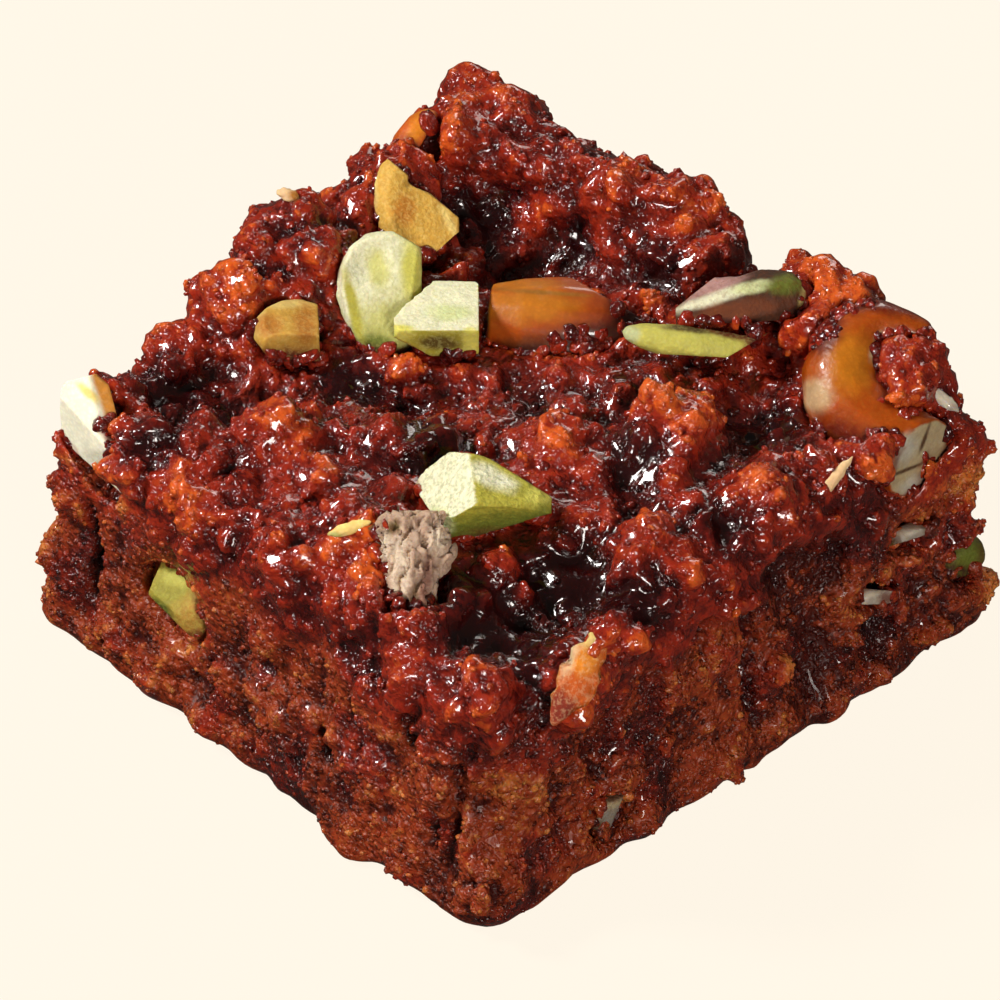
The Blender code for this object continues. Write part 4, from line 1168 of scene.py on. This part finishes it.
def clinging_tree(material):
    """Scatters crumbs over the parts of the nuts that touch the halwa, half sunk, each turned its own way."""
    tree, given, result = new_shape_tree("clinging crumbs", CLINGING)
    place, height = place_and_height(tree)
    uneven = cloudy(tree, place, 700.0, 1.0)[0]
    touching_halwa = remap(tree, read_level(tree, "halwa_contact"), 0.45, 0.9)
    wanted = times(tree, touching_halwa, remap(tree, uneven, 0.36, 0.52, 0.15, 1.0))
    density = times(tree, given["Density"], wanted)
    squash = ((0.6, 0.6, 0.5), (1.5, 1.3, 1.0))
    balls = scatter_crumbs(tree, given["Geometry"], given, density, squash, 2, 0.2)
    real = dented(tree, balls, 1500.0, 0.8 * MM)
    topped = keep_level(tree, real, "top", remap(tree, height, 12 * MM, 17 * MM))
    painted = place_node(tree, "GeometryNodeSetMaterial", Geometry=topped, Material=material)
    tree.links.new(painted.outputs[0], result)
    return tree


skins = new_object("nut_skins", joined_skins(kernels))
clinging = new_object("halwa_clinging", run_tree(skins, clinging_tree(grain_crumb), CLINGING))
bpy.data.objects.remove(skins)
finish_piece(clinging, "halwa")

# Floor, light and camera: a plain cream ground, one hard light from the upper left, a soft fill from the
# right and a low light from behind, seen from the photograph's side.
CREAM_GROUND = (1.0, 0.922, 0.799)


def make_floor():
    bpy.ops.mesh.primitive_plane_add(size=6, location=(0, 0, -0.0001))
    floor = bpy.context.object
    floor.name = "floor"
    made, _, shader = new_material("cream ground")
    shader["Base Color"].default_value = (*[0.03 * part for part in CREAM_GROUND], 1)
    shader["Roughness"].default_value = 1.0
    shader["Specular IOR Level"].default_value = 0.0
    shader["Emission Color"].default_value = (*CREAM_GROUND, 1)
    shader["Emission Strength"].default_value = 0.98
    floor.data.materials.append(made)
    floor.visible_diffuse = False
    floor.visible_glossy = False


def make_light(name, way, distance, size, power, colour):
    data = bpy.data.lights.new(name, "AREA")
    data.size = size
    data.energy = power
    data.color = colour
    lamp = bpy.data.objects.new(name, data)
    direction = Vector(way).normalized()
    lamp.location = direction * distance
    lamp.rotation_euler = direction.to_track_quat("Z", "Y").to_euler()
    bpy.context.scene.collection.objects.link(lamp)


def make_camera(azimuth, elevation, distance, target, lens):
    turn, rise = math.radians(azimuth), math.radians(elevation)
    back = Vector((math.sin(turn) * math.cos(rise), -math.cos(turn) * math.cos(rise), math.sin(rise)))
    data = bpy.data.cameras.new("camera")
    data.lens = lens
    data.sensor_width = 36
    data.clip_start = 0.01
    data.clip_end = 20
    camera = bpy.data.objects.new("camera", data)
    camera.location = Vector(target) + back * distance
    camera.rotation_euler = back.to_track_quat("Z", "Y").to_euler()
    bpy.context.scene.collection.objects.link(camera)
    bpy.context.scene.camera = camera


make_floor()
make_light("key", way=(-0.62, -0.55, 0.80), distance=0.7, size=0.12, power=6.0, colour=(1.0, 0.97, 0.92))
make_light("fill", way=(1.0, -0.55, 0.45), distance=0.9, size=0.22, power=6.0, colour=(1.0, 0.94, 0.88))
make_light("back", way=(-0.5, 0.9, 0.6), distance=0.8, size=0.25, power=1.2, colour=(1.0, 0.96, 0.9))
world = bpy.data.worlds.new("studio")
world.use_nodes = True
sky = world.node_tree.nodes["Background"]
sky.inputs["Color"].default_value = (*CREAM_GROUND, 1)
seen = world.node_tree.nodes.new("ShaderNodeLightPath").outputs["Is Camera Ray"]
connect(world.node_tree, remap(world.node_tree, seen, 0.0, 1.0, 0.07, 1.0), sky.inputs["Strength"])
bpy.context.scene.world = world
bpy.context.scene.view_settings.view_transform = "Standard"
make_camera(
    azimuth=45.0, elevation=41.0, distance=0.5, target=(-0.295 * MM, 0.325 * MM, 10.7 * MM), lens=257.4
)
